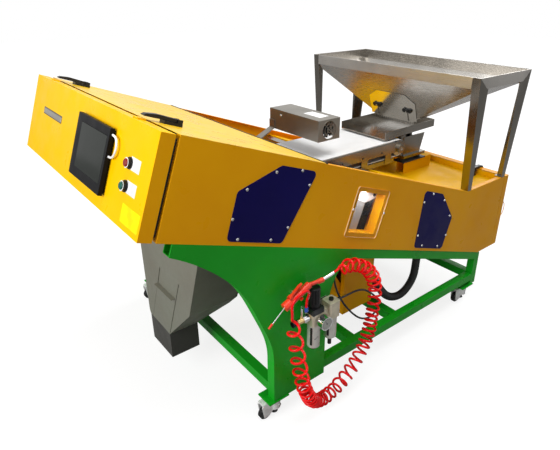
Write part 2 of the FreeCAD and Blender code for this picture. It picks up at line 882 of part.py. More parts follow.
def stand_top_frame():
    """Sloping rails under the housing, their tail posts and the tubes between them."""
    end_s = incline_s_at(post_end_x)
    rail = hollow_tube(slope_rail_start, end_s, leg_plate + 0.2, tube, -tube, 0, tube_wall, "x")
    rail = on_incline(rail)
    keep = box(-100, post_end_x, -10, tube + 10, 0, 1200)
    rail = rail.common(keep)
    post = hollow_tube(post_end_x - tube, post_end_x, leg_plate + 0.2, tube, rail_top_z, 400,
                       tube_wall, "z")
    under_rail = on_incline(box(-body_width, 3 * body_width, -10, tube + 10, -tube - body_width, -tube))
    post = post.common(under_rail)
    shapes = [rail, post, mirror_y(rail, body_middle_y), mirror_y(post, body_middle_y)]
    for s in (620.0, end_s - 90):
        cross = hollow_tube(s, s + tube, tube, body_width - tube, -tube, 0, tube_wall, "y")
        shapes.append(on_incline(cross))
    return group(*shapes)


def incline_s_at(x):
    """Distance along the slope's lower edge at which the stand's rail ends."""
    return x / cos_tilt + tube * tan_tilt


def caster_places():
    near_y = tube / 2 + 14
    left_x = leg_left_x + 22
    right_x = post_end_x - 66
    return ((left_x, near_y), (right_x, near_y), (left_x, body_width - near_y),
            (right_x, body_width - near_y))


def caster_frame(x, y):
    """Cast swivel body: side cheeks round the wheel and a well for the levelling foot."""
    top = stand_foot_z - caster_plate - caster_swivel_play
    wheel_x = x - caster_trail
    cheek_gap = caster_wheel_width / 2 + 1.0
    outer = cheek_gap + caster_body_wall
    roof_z = top - 9
    deck = box(wheel_x - 16, x + 24, y - outer, y + outer, roof_z, top)
    cheeks = []
    for side in (-1, 1):
        y0 = y + side * cheek_gap
        y1 = y + side * outer
        outline = [(wheel_x - 20, roof_z), (wheel_x - 11, caster_wheel_radius - 10),
                   (wheel_x + 11, caster_wheel_radius - 10), (x - 14, 34), (x + 22, 34), (x + 24, roof_z)]
        cheeks.append(plate_xz(outline, min(y0, y1), max(y0, y1)))
    well = rod(dial_radius + 5, (x, y, 34), (x, y, roof_z))
    well = well.cut(rod(dial_radius + 1, (x, y, 33), (x, y, roof_z - 3)))
    wheel_way = ring(caster_wheel_radius + 3, 0.5, (wheel_x, y - cheek_gap, caster_wheel_radius),
                     (wheel_x, y + cheek_gap, caster_wheel_radius))
    well = well.cut(rod(caster_wheel_radius + 3, (wheel_x, y - cheek_gap, caster_wheel_radius),
                        (wheel_x, y + cheek_gap, caster_wheel_radius)))
    deck = deck.cut(wheel_way)
    axle = rod(caster_axle_radius, (wheel_x, y - outer, caster_wheel_radius),
               (wheel_x, y + outer, caster_wheel_radius))
    disc = rod(caster_disc_radius, (x, y, roof_z), (x, y, top))
    body = fuse(deck, *(cheeks + [well, axle, disc]))
    dial_window = box(x + 4, x + 40, y - outer - 20, y + outer + 20, 40, 58)
    pin_way = rod(caster_pin_radius + caster_play, (x, y, roof_z - 4), (x, y, top + 1))
    inner_well = rod(dial_radius + 1, (x, y, 30), (x, y, roof_z - 3))
    return fuse(body.cut(dial_window).cut(pin_way).cut(inner_well), axle)


def caster_wheel(x, y):
    """Wheel with chamfered rims and a hub that stands as wide as its tread."""
    wheel_x = x - caster_trail
    half = caster_wheel_width / 2
    z = caster_wheel_radius
    flat = half - caster_wheel_chamfer
    tread = rod(caster_wheel_radius, (wheel_x, y - flat, z), (wheel_x, y + flat, z))
    shapes = [tread]
    for side in (-1, 1):
        shapes.append(Part.makeCone(caster_wheel_radius, caster_wheel_radius - caster_wheel_chamfer,
                                    caster_wheel_chamfer, Vector(wheel_x, y + side * flat, z),
                                    Vector(0, side, 0)))
    bore = rod(caster_axle_radius + caster_play, (wheel_x, y - half - 1, z), (wheel_x, y + half + 1, z))
    return fuse(*shapes).cut(bore)


def caster_foot(x, y):
    """Screw, thumb dial and pad; it moves down until it lifts the wheel off the floor."""
    pad = Part.makeCone(pad_radius, pad_radius - 4, 8, Vector(x, y, pad_clearance))
    dial = rod(dial_radius, (x, y, 44), (x, y, 44 + dial_height))
    screw = rod(6.0, (x, y, pad_clearance + 8), (x, y, 62))
    return fuse(pad, dial, screw)


def caster_plates():
    shapes = []
    for x, y in caster_places():
        plate = box(x - caster_plate_length / 2, x + caster_plate_length / 2,
                    y - caster_plate_width / 2, y + caster_plate_width / 2,
                    stand_foot_z - caster_plate, stand_foot_z)
        pin = rod(caster_pin_radius, (x, y, stand_foot_z - caster_plate - 9), (x, y, stand_foot_z))
        shapes.append(fuse(plate, pin))
    return group(*shapes)


roller_z = belt_top_z - belt_thickness - roller_radius
belt_y = (line_y - belt_width / 2, line_y + belt_width / 2)


def stadium(radius, y0, y1):
    """Rounded block round both rollers, as a belt of that radius would enclose."""
    straight = box(head_roller_x, tail_roller_x, y0, y1, roller_z - radius, roller_z + radius)
    head = rod(radius, (head_roller_x, y0, roller_z), (head_roller_x, y1, roller_z))
    tail = rod(radius, (tail_roller_x, y0, roller_z), (tail_roller_x, y1, roller_z))
    return fuse(straight, head, tail)


def conveyor_belt():
    outer = stadium(roller_radius + belt_thickness, *belt_y)
    inner = stadium(roller_radius + roller_play, belt_y[0] - 1, belt_y[1] + 1)
    return outer.cut(inner)


def roller(x):
    y0 = belt_y[0] + roller_end_gap / 2
    y1 = belt_y[1] - roller_end_gap / 2
    drum = rod(roller_radius - 0.2, (x, y0, roller_z), (x, y1, roller_z))
    reach = conveyor_side_gap + conveyor_plate + bearing_thickness - 2
    shaft = rod(roller_shaft_radius, (x, belt_y[0] - reach, roller_z), (x, belt_y[1] + reach, roller_z))
    return fuse(drum, shaft)


conveyor_edge = belt_width / 2 + conveyor_side_gap
beam_top_z = roller_z - roller_radius - belt_thickness - 3.0
beam_low_z = beam_top_z - conveyor_beam
hanger_x = (head_roller_x + 60, tail_roller_x - 260)


def conveyor_side(side):
    """One side plate with bolt and shaft holes, its tabs and the beam below."""
    z1 = belt_top_z - conveyor_plate_drop
    z0 = z1 - conveyor_plate_height
    edge = line_y + side * conveyor_edge
    y0, y1 = sorted((edge, edge + side * conveyor_plate))
    plate = box(head_roller_x - conveyor_plate_past, tail_roller_x + conveyor_plate_past, y0, y1, z0, z1)
    for x in (head_roller_x, tail_roller_x):
        plate = plate.cut(rod(roller_shaft_radius + 1.0, (x, y0 - 1, roller_z), (x, y1 + 1, roller_z)))
    step = (tail_roller_x - head_roller_x) / (conveyor_holes + 1)
    for i in range(conveyor_holes):
        x = head_roller_x + step * (i + 1)
        plate = plate.cut(rod(conveyor_hole_radius, (x, y0 - 1, roller_z), (x, y1 + 1, roller_z)))
    tabs = [box(x, x + tube, y0, y1, beam_low_z, z0 + 1) for x in (*hanger_x, tail_roller_x - 100)]
    beam_y0, beam_y1 = sorted((edge, edge - side * beam_width))
    beam = hollow_tube(head_roller_x + 8, tail_roller_x - 34, beam_y0, beam_y1, beam_low_z, beam_top_z,
                       beam_wall, "x")
    return fuse(plate, *tabs), beam


def conveyor_frame():
    """Side plates and beams, the slider bed under the belt, and the cross spacers."""
    shapes = [piece for side in (-1, 1) for piece in conveyor_side(side)]
    bed_z = belt_top_z - belt_thickness - slider_gap
    shapes.append(box(head_roller_x + roller_radius + 6, tail_roller_x - roller_radius - 6,
                      line_y - conveyor_edge, line_y + conveyor_edge, bed_z - slider_thickness, bed_z))
    inner = conveyor_edge - beam_width
    for x in hanger_x:
        shapes.append(hollow_tube(x, x + tube, line_y - inner, line_y + inner, beam_low_z, beam_top_z,
                                  beam_wall, "y"))
    return group(*shapes)


def conveyor_hangers():
    """Cross tubes between the side panels, on which the conveyor's beams rest."""
    return group(*[hollow_tube(x, x + tube, sheet, body_width - sheet, beam_low_z - hanger_height, beam_low_z,
                               beam_wall, "y") for x in hanger_x])


def conveyor_bearings():
    shapes = []
    for x in (head_roller_x, tail_roller_x):
        for side in (-1, 1):
            edge = line_y + side * (belt_width / 2 + conveyor_side_gap + conveyor_plate)
            far = edge + side * bearing_thickness
            shapes.append(ring(bearing_radius, roller_shaft_radius + roller_play,
                               (x, edge, roller_z), (x, far, roller_z)))
    return group(*shapes)


def belt_motor():
    """Gearmotor on the far side plate, inside the housing, round the drive shaft's end."""
    start_y = belt_y[1] + conveyor_side_gap + conveyor_plate + bearing_thickness + motor_gap
    half = gearbox_length / 2
    end_x = head_roller_x + half
    middle_y = start_y + gearbox_width / 2
    gearbox = box(head_roller_x - half, end_x, start_y, start_y + gearbox_width,
                  roller_z - half, roller_z + half)
    z = roller_z - motor_drop
    motor = rod(motor_radius, (end_x, middle_y, z), (end_x + motor_length, middle_y, z))
    grooves = []
    for i in range(motor_grooves):
        x = end_x + (i + 1) * motor_length / (motor_grooves + 1)
        grooves.append(ring(motor_radius + 1, motor_radius - motor_groove_depth, (x, middle_y, z),
                            (x + motor_groove_width, middle_y, z)))
    return fuse(gearbox, motor).cut(Part.makeCompound(grooves))


spring_top_z = tray_floor_z - 27.0


def spring_feet():
    return vibrator_start_x + 24, vibrator_start_x + vibrator_length - 26


def tilted_tray(shape):
    """Leans a piece of the feeder by the tray's slope about its front lip."""
    shape = shape.copy()
    shape.rotate(Vector(tray_lip_x, line_y, tray_floor_z), Vector(0, 1, 0), -tray_slope)
    return shape


def feeder_tray():
    half = tray_inner_width / 2
    x0 = tray_lip_x
    x1 = tray_lip_x + tray_length
    outer = box(x0, x1, line_y - half - tray_wall, line_y + half + tray_wall,
                tray_floor_z, tray_floor_z + tray_wall_height)
    inner = box(x0 - 1, x1 - tray_wall, line_y - half, line_y + half,
                tray_floor_z + tray_wall, tray_floor_z + tray_wall_height + 1)
    tray = outer.cut(inner)
    lip = box(x0, x0 + tray_lip, line_y - half, line_y + half,
              tray_floor_z + tray_wall, tray_floor_z + tray_wall + 2)
    ribs = []
    for side in (-1, 1):
        y = line_y + side * (vibrator_width / 2 - 22)
        rib = plate_xz([(vibrator_start_x - 60, tray_floor_z), (x1 - 20, tray_floor_z),
                        (x1 - 50, tray_floor_z - 22), (vibrator_start_x - 20, tray_floor_z - 22)],
                       y - 2, y + 2)
        ribs.append(rib)
    tray = tilted_tray(fuse(tray, lip, *ribs))
    yokes = []
    for x in spring_feet():
        start = x - spring_lean - 5
        yokes.append(box(start, start + 3 * (spring_leaf + 1.2) + 10, line_y - vibrator_width / 2 + 24,
                         line_y + vibrator_width / 2 - 24, spring_top_z + 0.3, tray_floor_z + 6))
    way = tilted_tray(box(tray_lip_x, tray_lip_x + tray_length, line_y - tray_inner_width / 2,
                          line_y + tray_inner_width / 2, tray_floor_z + tray_wall, tray_floor_z + 40))
    return fuse(tray, *[yoke.cut(way) for yoke in yokes])


def feeder_supports():
    """Two open-ended box tubes welded along the deck."""
    shapes = []
    for side in (-1, 1):
        y = line_y + side * feeder_tube_offset
        shapes.append(hollow_tube(feeder_tube_x[0], feeder_tube_x[1], y - feeder_tube_width / 2,
                                  y + feeder_tube_width / 2, deck_z, deck_z + feeder_tube_height,
                                  feeder_tube_wall, "x"))
    return group(*shapes)


feeder_base_z = deck_z + feeder_tube_height + mount_plate + mount_height


def feeder_mounts():
    z = deck_z + feeder_tube_height
    x0 = vibrator_start_x - 12
    x1 = vibrator_start_x + vibrator_length + 12
    shapes = []
    for side in (-1, 1):
        y = line_y + side * feeder_tube_offset
        shapes.append(box(x0, x1, y - 34, y + 34, z, z + mount_plate))
        for x in (x0 + 26, x1 - 26):
            shapes.append(rod(mount_radius, (x, y, z + mount_plate), (x, y, z + mount_plate + mount_height)))
    return group(*shapes)


def vibrator():
    """Electromagnetic drive: base, side plates, magnet core and leaf springs."""
    x0 = vibrator_start_x
    x1 = x0 + vibrator_length
    z0 = feeder_base_z
    y0 = line_y - vibrator_width / 2 - 20
    y1 = line_y + vibrator_width / 2 + 20
    base = box(x0 - 10, x1 + 10, y0 - 12, y1 + 12, z0, z0 + 14)
    shapes = [base]
    top = tray_floor_z - 26
    for y in (y0, y1 - vibrator_plate):
        shapes.append(plate_xz([(x0, z0 + 14), (x1 - 22, z0 + 14), (x1 + 6, top - 4), (x0 - 6, top - 4)],
                               y, y + vibrator_plate))
    core = box(x0 + 48, x1 - 52, line_y - 34, line_y + 34, z0 + 14, top - 22)
    shapes.append(core)
    body = fuse(*shapes)
    leaves = []
    for x in spring_feet():
        for i in range(3):
            foot = x + i * (spring_leaf + 1.2)
            leaves.append(plate_xz([(foot, z0 + 14), (foot + spring_leaf, z0 + 14),
                                    (foot + spring_leaf - spring_lean, spring_top_z),
                                    (foot - spring_lean, spring_top_z)],
                                   line_y - vibrator_width / 2 + 30, line_y + vibrator_width / 2 - 30))
    return group(body, *leaves)


def hopper_leg(front, near):
    """Tapered corner post: the inner edge is upright and the outer edge leans out."""
    z0 = tail_top_z
    z1 = hopper_top_z
    if front:
        inner = kink_x + hopper_leg_foot
        outline = [(inner - hopper_leg_foot, z0), (inner, z0), (inner, z1 - hopper_band),
                   (hopper_x[0] + hopper_leg_top, z1 - hopper_band), (hopper_x[0] + hopper_leg_top, z1),
                   (hopper_x[0], z1)]
    else:
        inner = rear_foot_x - hopper_leg_foot
        outline = [(inner, z0), (inner + hopper_leg_foot, z0), (hopper_x[1], z1),
                   (hopper_x[1] - hopper_leg_top, z1), (hopper_x[1] - hopper_leg_top, z1 - hopper_band),
                   (inner, z1 - hopper_band)]
    wall = 3.0
    y_edge = hopper_y[0] if near else hopper_y[1]
    way = 1 if near else -1
    y0, y1 = sorted((y_edge, y_edge + way * hopper_leg_width))
    web_y0, web_y1 = sorted((y_edge, y_edge + way * wall))
    web = plate_xz(outline, web_y0, web_y1)
    outer = plate_xz(outline, y0, y1)
    if front:
        back = plate_xz([(x + wall, z) for x, z in outline], y0, y1)
    else:
        back = plate_xz([(x - wall, z) for x, z in outline], y0, y1)
    flange = outer.cut(back)
    return fuse(web, flange)


def hopper_frame():
    """Top band of folded channel and four tapered posts, welded at the corners."""
    legs = [hopper_leg(front, near) for front in (True, False) for near in (True, False)]
    z0 = hopper_top_z - hopper_band
    inset = hopper_leg_width
    bands = []
    for x0, x1 in ((hopper_x[0], hopper_x[0] + 3.0), (hopper_x[1] - 3.0, hopper_x[1])):
        bands.append(box(x0, x1, hopper_y[0] + inset, hopper_y[1] - inset, z0, hopper_top_z))
    for y0, y1 in ((hopper_y[0], hopper_y[0] + 3.0), (hopper_y[1] - 3.0, hopper_y[1])):
        bands.append(box(hopper_x[0] + hopper_leg_top, hopper_x[1] - hopper_leg_top, y0, y1,
                         z0, hopper_top_z))
    feet = []
    for y0, y1 in ((hopper_y[0] + 3.3, hopper_y[0] + hopper_leg_width),
                   (hopper_y[1] - hopper_leg_width, hopper_y[1] - 3.3)):
        for x0 in (kink_x + 3.3, rear_foot_x - hopper_leg_foot):
            feet.append(box(x0, x0 + hopper_leg_foot - 3.3, y0, y1, tail_top_z, tail_top_z + 3.0))
    return group(*(legs + bands + feet))


def funnel_rings():
    """Inner outlines of the funnel: mouth, throat top and throat bottom."""
    mouth = (hopper_x[0] + 7.5, hopper_x[1] - 9.2, hopper_y[0] + 3.3, hopper_y[1] - 3.3)
    neck = (throat_x[0], throat_x[1], line_y - throat_width / 2, line_y + throat_width / 2)
    return mouth, neck


def rectangle_corners(bounds, grow, z):
    x0, x1, y0, y1 = bounds
    return [Vector(x0 - grow, y0 - grow, z), Vector(x1 + grow, y0 - grow, z),
            Vector(x1 + grow, y1 + grow, z), Vector(x0 - grow, y1 + grow, z)]


def flat_sided(low, high):
    """Solid with flat sides between two level rectangles, given by their corners."""
    faces = [Part.Face(Part.makePolygon(low + low[:1])), Part.Face(Part.makePolygon(high + high[:1]))]
    for i in range(4):
        j = (i + 1) % 4
        faces.append(Part.Face(Part.makePolygon([low[i], low[j], high[j], high[i], low[i]])))
    solid = Part.Solid(Part.Shell(faces))
    if solid.Volume < 0:
        solid.reverse()
    return solid


def funnel_solid(grow):
    mouth, neck = funnel_rings()
    band_z = hopper_top_z - hopper_band
    upper = flat_sided(rectangle_corners(mouth, grow, band_z),
                       rectangle_corners(mouth, grow, hopper_top_z - 1))
    cone = flat_sided(rectangle_corners(neck, grow, throat_z), rectangle_corners(mouth, grow, band_z))
    return fuse(upper, cone)


def hopper_funnel():
    """Sheet funnel with a straight mouth; two gate studs stand out of its front."""
    mouth, neck = funnel_rings()
    top_way = flat_sided(rectangle_corners(mouth, -hopper_sheet, hopper_top_z - 6),
                         rectangle_corners(mouth, -hopper_sheet, hopper_top_z + 1))
    low_way = flat_sided(rectangle_corners(neck, -hopper_sheet, throat_z - 3),
                         rectangle_corners(neck, -hopper_sheet, throat_z + 1))
    shell = funnel_solid(0.0).cut(funnel_solid(-hopper_sheet)).cut(top_way).cut(low_way)
    rise = gate_stud_rise()
    studs = [on_gate(rod(gate_stud_radius, (-0.5, y, rise), (gate_stud_length, y, rise)))
             for y in gate_stud_ys()]
    return fuse(shell, *studs)


def gate_stud_ys():
    half = gate_width / 2 - gate_slot_inset
    return line_y - half, line_y + half


def gate_lean():
    """Angle of the funnel's front wall from upright."""
    mouth, neck = funnel_rings()
    rise = hopper_top_z - hopper_band - throat_z
    return math.degrees(math.atan2(neck[0] - mouth[0], rise))


def gate_height():
    wall = (hopper_top_z - hopper_band - throat_z) / math.cos(rad(gate_lean()))
    return wall * gate_height_share


def gate_stud_rise():
    return gate_height() * gate_stud_share


def on_gate(shape):
    """Moves a shape built with x out of the front wall and z up it, from the outlet's edge."""
    shape = shape.copy()
    shape = shape.mirror(Vector(0, 0, 0), Vector(1, 0, 0))
    turn = FreeCAD.Rotation(Vector(0, 1, 0), -gate_lean())
    place = FreeCAD.Placement(Vector(throat_x[0], 0, throat_z), turn)
    shape.transformShape(place.toMatrix())
    return shape


gate_gap = 0.4


def gate_plate():
    """Sliding shutter with cut top corners, two slots and a comb along its foot."""
    low = -gate_foot_drop
    half = gate_width / 2
    comb_half = comb_width / 2
    shoulder = low + gate_shoulder
    high = low + gate_height()
    cut_z = high - gate_height() * gate_chamfer_share
    outline = [(line_y - half, shoulder), (line_y - half, cut_z), (line_y - half + gate_chamfer_width, high),
               (line_y + half - gate_chamfer_width, high), (line_y + half, cut_z), (line_y + half, shoulder),
               (line_y + comb_half, shoulder), (line_y + comb_half, low), (line_y - comb_half, low),
               (line_y - comb_half, shoulder)]
    plate = plate_yz(outline, gate_gap, gate_gap + gate_thickness)
    back = gate_gap - 1
    face = gate_gap + gate_thickness + 1
    ways = []
    step = comb_width / comb_teeth
    tooth_way = (step - comb_tooth) / 2
    for i in range(comb_teeth):
        y = line_y - comb_half + step * (i + 0.5)
        ways.append(box(back, face, y - tooth_way, y + tooth_way, low - 1, low + comb_depth))
    top = gate_stud_rise() + gate_stud_radius + 1
    slot_foot = top - gate_height() * gate_slot_share
    for y in gate_stud_ys():
        ways.append(box(back, face, y - gate_slot_width / 2, y + gate_slot_width / 2, slot_foot, top))
    return on_gate(plate.cut(Part.makeCompound(ways)))


def wing_nut(y):
    """Hub with two upright wings, seated on the shutter round its stud."""
    x0 = gate_gap + gate_thickness + 0.3
    x1 = x0 + nut_wing_lift
    h = gate_stud_rise()
    hub = Part.makeCone(nut_radius, nut_radius - 1.5, nut_height, Vector(x0, y, h), Vector(1, 0, 0))
    wings = []
    for side in (-1, 1):
        lobe_y = y + side * (nut_wing_span / 2 - nut_lobe_radius)
        wings.append(rod(nut_lobe_radius, (x1, lobe_y, h), (x1 + nut_wing_thickness, lobe_y, h)))
        web_y0, web_y1 = sorted((y, lobe_y))
        wings.append(box(x1, x1 + nut_wing_thickness, web_y0, web_y1, h - nut_web / 2, h + nut_web / 2))
    hole = rod(gate_stud_radius + 0.05, (x0 - 1, y, h), (x0 + nut_height + 1, y, h))
    return on_gate(fuse(hub, *wings).cut(hole))


def ioniser_box():
    """Stainless blower box, open below, with a round outlet in its near end."""
    outer = box(ioniser_x[0], ioniser_x[1], ioniser_y[0], ioniser_y[1], ioniser_z[0], ioniser_z[1])
    t = ioniser_sheet
    inner = box(ioniser_x[0] + t, ioniser_x[1] - t, ioniser_y[0] + t, ioniser_y[1] - t,
                ioniser_z[0] - 1, ioniser_z[1] - t)
    x = sum(ioniser_x) / 2
    z = sum(ioniser_z) / 2
    hole = rod(fan_radius + 2, (x, ioniser_y[0] - 1, z), (x, ioniser_y[0] + t + 1, z))
    shell = outer.cut(inner).cut(hole)
    y0 = ioniser_y[0] - guard_wire
    wires = []
    step = (fan_radius + 3 - guard_inner) / (guard_rings - 1)
    for i in range(guard_rings):
        radius = guard_inner + i * step
        wires.append(ring(radius + guard_wire / 2, radius - guard_wire / 2, (x, y0, z), (x, ioniser_y[0], z)))
    spoke = fan_radius + 4
    for angle in (45, 135):
        wire = box(x - spoke, x + spoke, y0, ioniser_y[0], z - guard_wire / 2, z + guard_wire / 2)
        wire.rotate(Vector(x, y0, z), Vector(0, 1, 0), angle)
        wires.append(wire)
    guard = fuse(*wires)
    post = rod(spindle_radius, (x, ioniser_y[0] + t + 4, z), (x, ioniser_y[0] + 60, z))
    bridge = box(x - 6, x + 6, ioniser_y[0] + 54, ioniser_y[0] + 60, z - 4, ioniser_z[1] - t)
    return group(shell, guard, fuse(post, bridge))


def ioniser_fan():
    x = sum(ioniser_x) / 2
    z = sum(ioniser_z) / 2
    y0 = ioniser_y[0] + ioniser_sheet + 6
    hub = rod(fan_hub_radius, (x, y0, z), (x, y0 + fan_thickness + 4, z))
    blades = []
    for i in range(fan_blades):
        blade = box(x + fan_hub_radius - 2, x + fan_radius - 1, y0 + 5, y0 + 7, z - 8, z + 8)
        blade.rotate(Vector(x, y0 + 6, z), Vector(1, 0, 0), 32)
        blade.rotate(Vector(x, 0, z), Vector(0, 1, 0), i * 360.0 / fan_blades)
        blades.append(blade)
    fan = fuse(hub, *blades)
    return fan.cut(rod(spindle_radius + 0.05, (x, y0 - 1, z), (x, y0 + fan_thickness + 5, z)))


def ioniser_arm():
    """Flat strap that slopes from the conveyor's far side plate up to the blower box."""
    y0 = belt_y[1] + conveyor_side_gap + conveyor_plate + 0.3
    y1 = ioniser_y[1]
    foot_z = belt_top_z + arm_foot_rise
    lap_x = ioniser_x[0] - 0.3
    line = [(arm_foot_x, foot_z), (lap_x, ioniser_z[0] + 2), (lap_x, ioniser_z[0] + arm_lap)]
    strap = plate_xz(thick_line(line, arm_plate), y0, y1)
    foot_end = arm_foot_x + arm_foot_length
    slope = (line[1][1] - foot_z) / (lap_x - arm_foot_x)
    tab = plate_xz([(arm_foot_x, foot_z - arm_foot_depth - arm_foot_rise),
                    (foot_end, foot_z - arm_foot_depth - arm_foot_rise),
                    (foot_end, foot_z + 1 + slope * arm_foot_length), (arm_foot_x, foot_z + 1)],
                   y0, y0 + arm_plate)
    return fuse(strap, tab)


def sorting_head():
    """Camera box with its lens, two lamp tubes and the ejector valve block."""
    depth, width, height = camera_box
    camera_z = slope_top_z(camera_x + depth) - camera_clearance - height
    y0 = line_y - width / 2
    y1 = line_y + width / 2
    camera = box(camera_x, camera_x + depth, y0, y1, camera_z, camera_z + height)
    lens = rod(20.0, (camera_x + depth / 2, line_y, camera_z - 22), (camera_x + depth / 2, line_y, camera_z))
    ends = []
    for y in (y0 - 6, y1):
        ends.append(box(camera_x - 60, camera_x + depth + 10, y, y + 6, camera_z - 96, camera_z + height))
    lamps = []
    for x in (camera_x - 34, camera_x + depth - 14):
        lamps.append(rod(lamp_radius, (x, y0, camera_z - 70), (x, y1, camera_z - 70)))
    bar_z = camera_z + height
    bar = box(camera_x + 20, camera_x + 60, sheet, body_width - sheet, bar_z, bar_z + 20)
    ex, ey, ez = ejector_box
    block = box(ejector_x, ejector_x + ex, line_y - ey / 2, line_y + ey / 2, ejector_z, ejector_z + ez)
    nozzles = []
    for i in range(nozzle_count):
        y = line_y - ey / 2 + (i + 0.5) * ey / nozzle_count
        nozzles.append(box(ejector_x - 12, ejector_x + 2, y - 3.5, y + 3.5,
                           ejector_z + ez - 16, ejector_z + ez - 9))
    manifold = fuse(block, *nozzles)
    rails = box(ejector_x + 6, ejector_x + 40, sheet, body_width - sheet, ejector_z - 14, ejector_z)
    return group(camera, lens, *(ends + lamps + [bar, manifold, rails]))


def chute_face(top_z):
    """Front outline of the outlet funnel: one upright side and one that slants in."""
    return [(chute_y[0], top_z), (chute_y[1], top_z), (chute_y[1], chute_neck_z + 20),
            (spout_y[1], chute_neck_z), (spout_y[0], chute_neck_z), (chute_slant_y, chute_slant_z),
            (chute_y[0], chute_shoulder_z)]


def slope_under(x):
    """Height of the floor pan's underside at x."""
    return front_bottom_z - x * tan_tilt + sheet / cos_tilt


def above_underside():
    """All of the space over the floor pan's underside, less a 0.3 seam."""
    return on_incline(box(-body_width, 3 * body_width, -10, body_width, sheet - 0.3, body_width))


def accept_chute():
    """Sheet funnel under the housing and the open spout that the sorted product leaves by."""
    t = chute_sheet
    back_low_x = spout_back_x
    outer = plate_yz(chute_face(900), chute_front_x, chute_back_x)
    points = chute_face(900)
    face = Part.Face(Part.makePolygon([Vector(0, y, z) for y, z in points + points[:1]]))
    inner = face.makeOffset2D(-t, join=2).extrude(Vector(chute_back_x - chute_front_x - 2 * t, 0, 0))
    inner.translate(Vector(chute_front_x + t, 0, 0))
    slant_cut = plate_xz([(back_low_x, chute_neck_z - 5), (chute_back_x + 5, chute_neck_z - 5),
                          (chute_back_x + 5, chute_slant_z - 60), (chute_back_x, chute_slant_z - 60),
                          (back_low_x, chute_neck_z)], 0, body_width)
    slant_inner = plate_xz([(back_low_x - t, chute_neck_z), (chute_back_x - t, chute_slant_z - 60),
                            (chute_back_x - t, 900), (chute_front_x + t, 900),
                            (chute_front_x + t, chute_neck_z)], 0, body_width)
    outer = outer.cut(slant_cut)
    inner = inner.common(slant_inner)
    neck_way = box(chute_front_x + t, back_low_x - t, spout_y[0] + t, spout_y[1] - t, 0, chute_neck_z + 30)
    shell = outer.cut(inner).cut(neck_way)
    top_way = box(chute_front_x + t, chute_back_x - t, chute_y[0] + t, chute_y[1] - t, 800, 950)
    shell = shell.cut(top_way).cut(above_underside())
    spout = box(chute_front_x, back_low_x, spout_y[0], spout_y[1], spout_bottom_z, chute_neck_z)
    spout = spout.cut(box(chute_front_x + t, back_low_x - t, spout_y[0] + t, spout_y[1] - t,
                          spout_bottom_z - 1, chute_neck_z + 1))
    guides = []
    low, high = flap_z
    top = high + flap_travel * math.cos(rad(flap_lean))
    for y0, y1 in ((flap_foot_y[0] - 6.5, flap_foot_y[0] - 0.5),
                   (flap_foot_y[1] + 0.5, flap_foot_y[1] + 6.5)):
        guides.append(leaning_strip(y0, y1, low, top, chute_front_x - flap_thickness - 1, chute_front_x))
    return fuse(shell, spout, *guides)


def leaning_strip(y0, y1, z0, z1, x0, x1):
    """Flat strip whose sides lean the way the sampling slide does; y is at the slide's foot."""
    drift0 = (z0 - flap_z[0]) * math.tan(rad(flap_lean))
    drift1 = (z1 - flap_z[0]) * math.tan(rad(flap_lean))
    return plate_yz([(y0 - drift0, z0), (y1 - drift0, z0), (y1 - drift1, z1), (y0 - drift1, z1)], x0, x1)


def chute_flap():
    """Sampling slide on the funnel's front, lifted by its folded lip."""
    x1 = chute_front_x - 0.3
    x0 = x1 - flap_thickness
    low, high = flap_z
    plate = leaning_strip(flap_foot_y[0], flap_foot_y[1], low, high, x0, x1)
    lip = leaning_strip(flap_foot_y[0], flap_foot_y[1], high - flap_thickness, high, x0 - flap_lip, x1)
    return fuse(plate, lip)


def reject_chute():
    """Second funnel behind the first, ending in a short square outlet."""
    t = chute_sheet
    x0 = chute_back_x + 0.3
    x1 = reject_back_x
    y0, y1 = chute_y
    side = [(x0, 900), (x0, reject_bottom_z), (x0 + 90, reject_bottom_z), (x0 + 90, reject_neck_z),
            (x1, reject_neck_z + 150), (x1, 900)]
    side_in = [(x0 + t, 901), (x0 + t, reject_bottom_z - 1), (x0 + 90 - t, reject_bottom_z - 1),
               (x0 + 90 - t, reject_neck_z + 1), (x1 - t, reject_neck_z + 151), (x1 - t, 901)]
    outer = plate_xz(side, y0, y1)
    inner = plate_xz(side_in, y0 + t, y1 - t)
    front = plate_yz([(y0, 900), (y1, 900), (y1, reject_neck_z + 40), (line_y + 70, reject_neck_z),
                      (line_y + 70, reject_bottom_z), (line_y - 70, reject_bottom_z),
                      (line_y - 70, reject_neck_z), (y0, reject_neck_z + 110)], x0 - 1, x1 + 1)
    front_in = plate_yz([(y0 + t, 901), (y1 - t, 901), (y1 - t, reject_neck_z + 41),
                         (line_y + 70 - t, reject_neck_z + 1),
                         (line_y + 70 - t, reject_bottom_z - 1), (line_y - 70 + t, reject_bottom_z - 1),
                         (line_y - 70 + t, reject_neck_z + 1), (y0 + t, reject_neck_z + 111)], x0 - 1, x1 + 1)
    shell = outer.common(front).cut(inner.common(front_in))
    return shell.cut(above_underside())


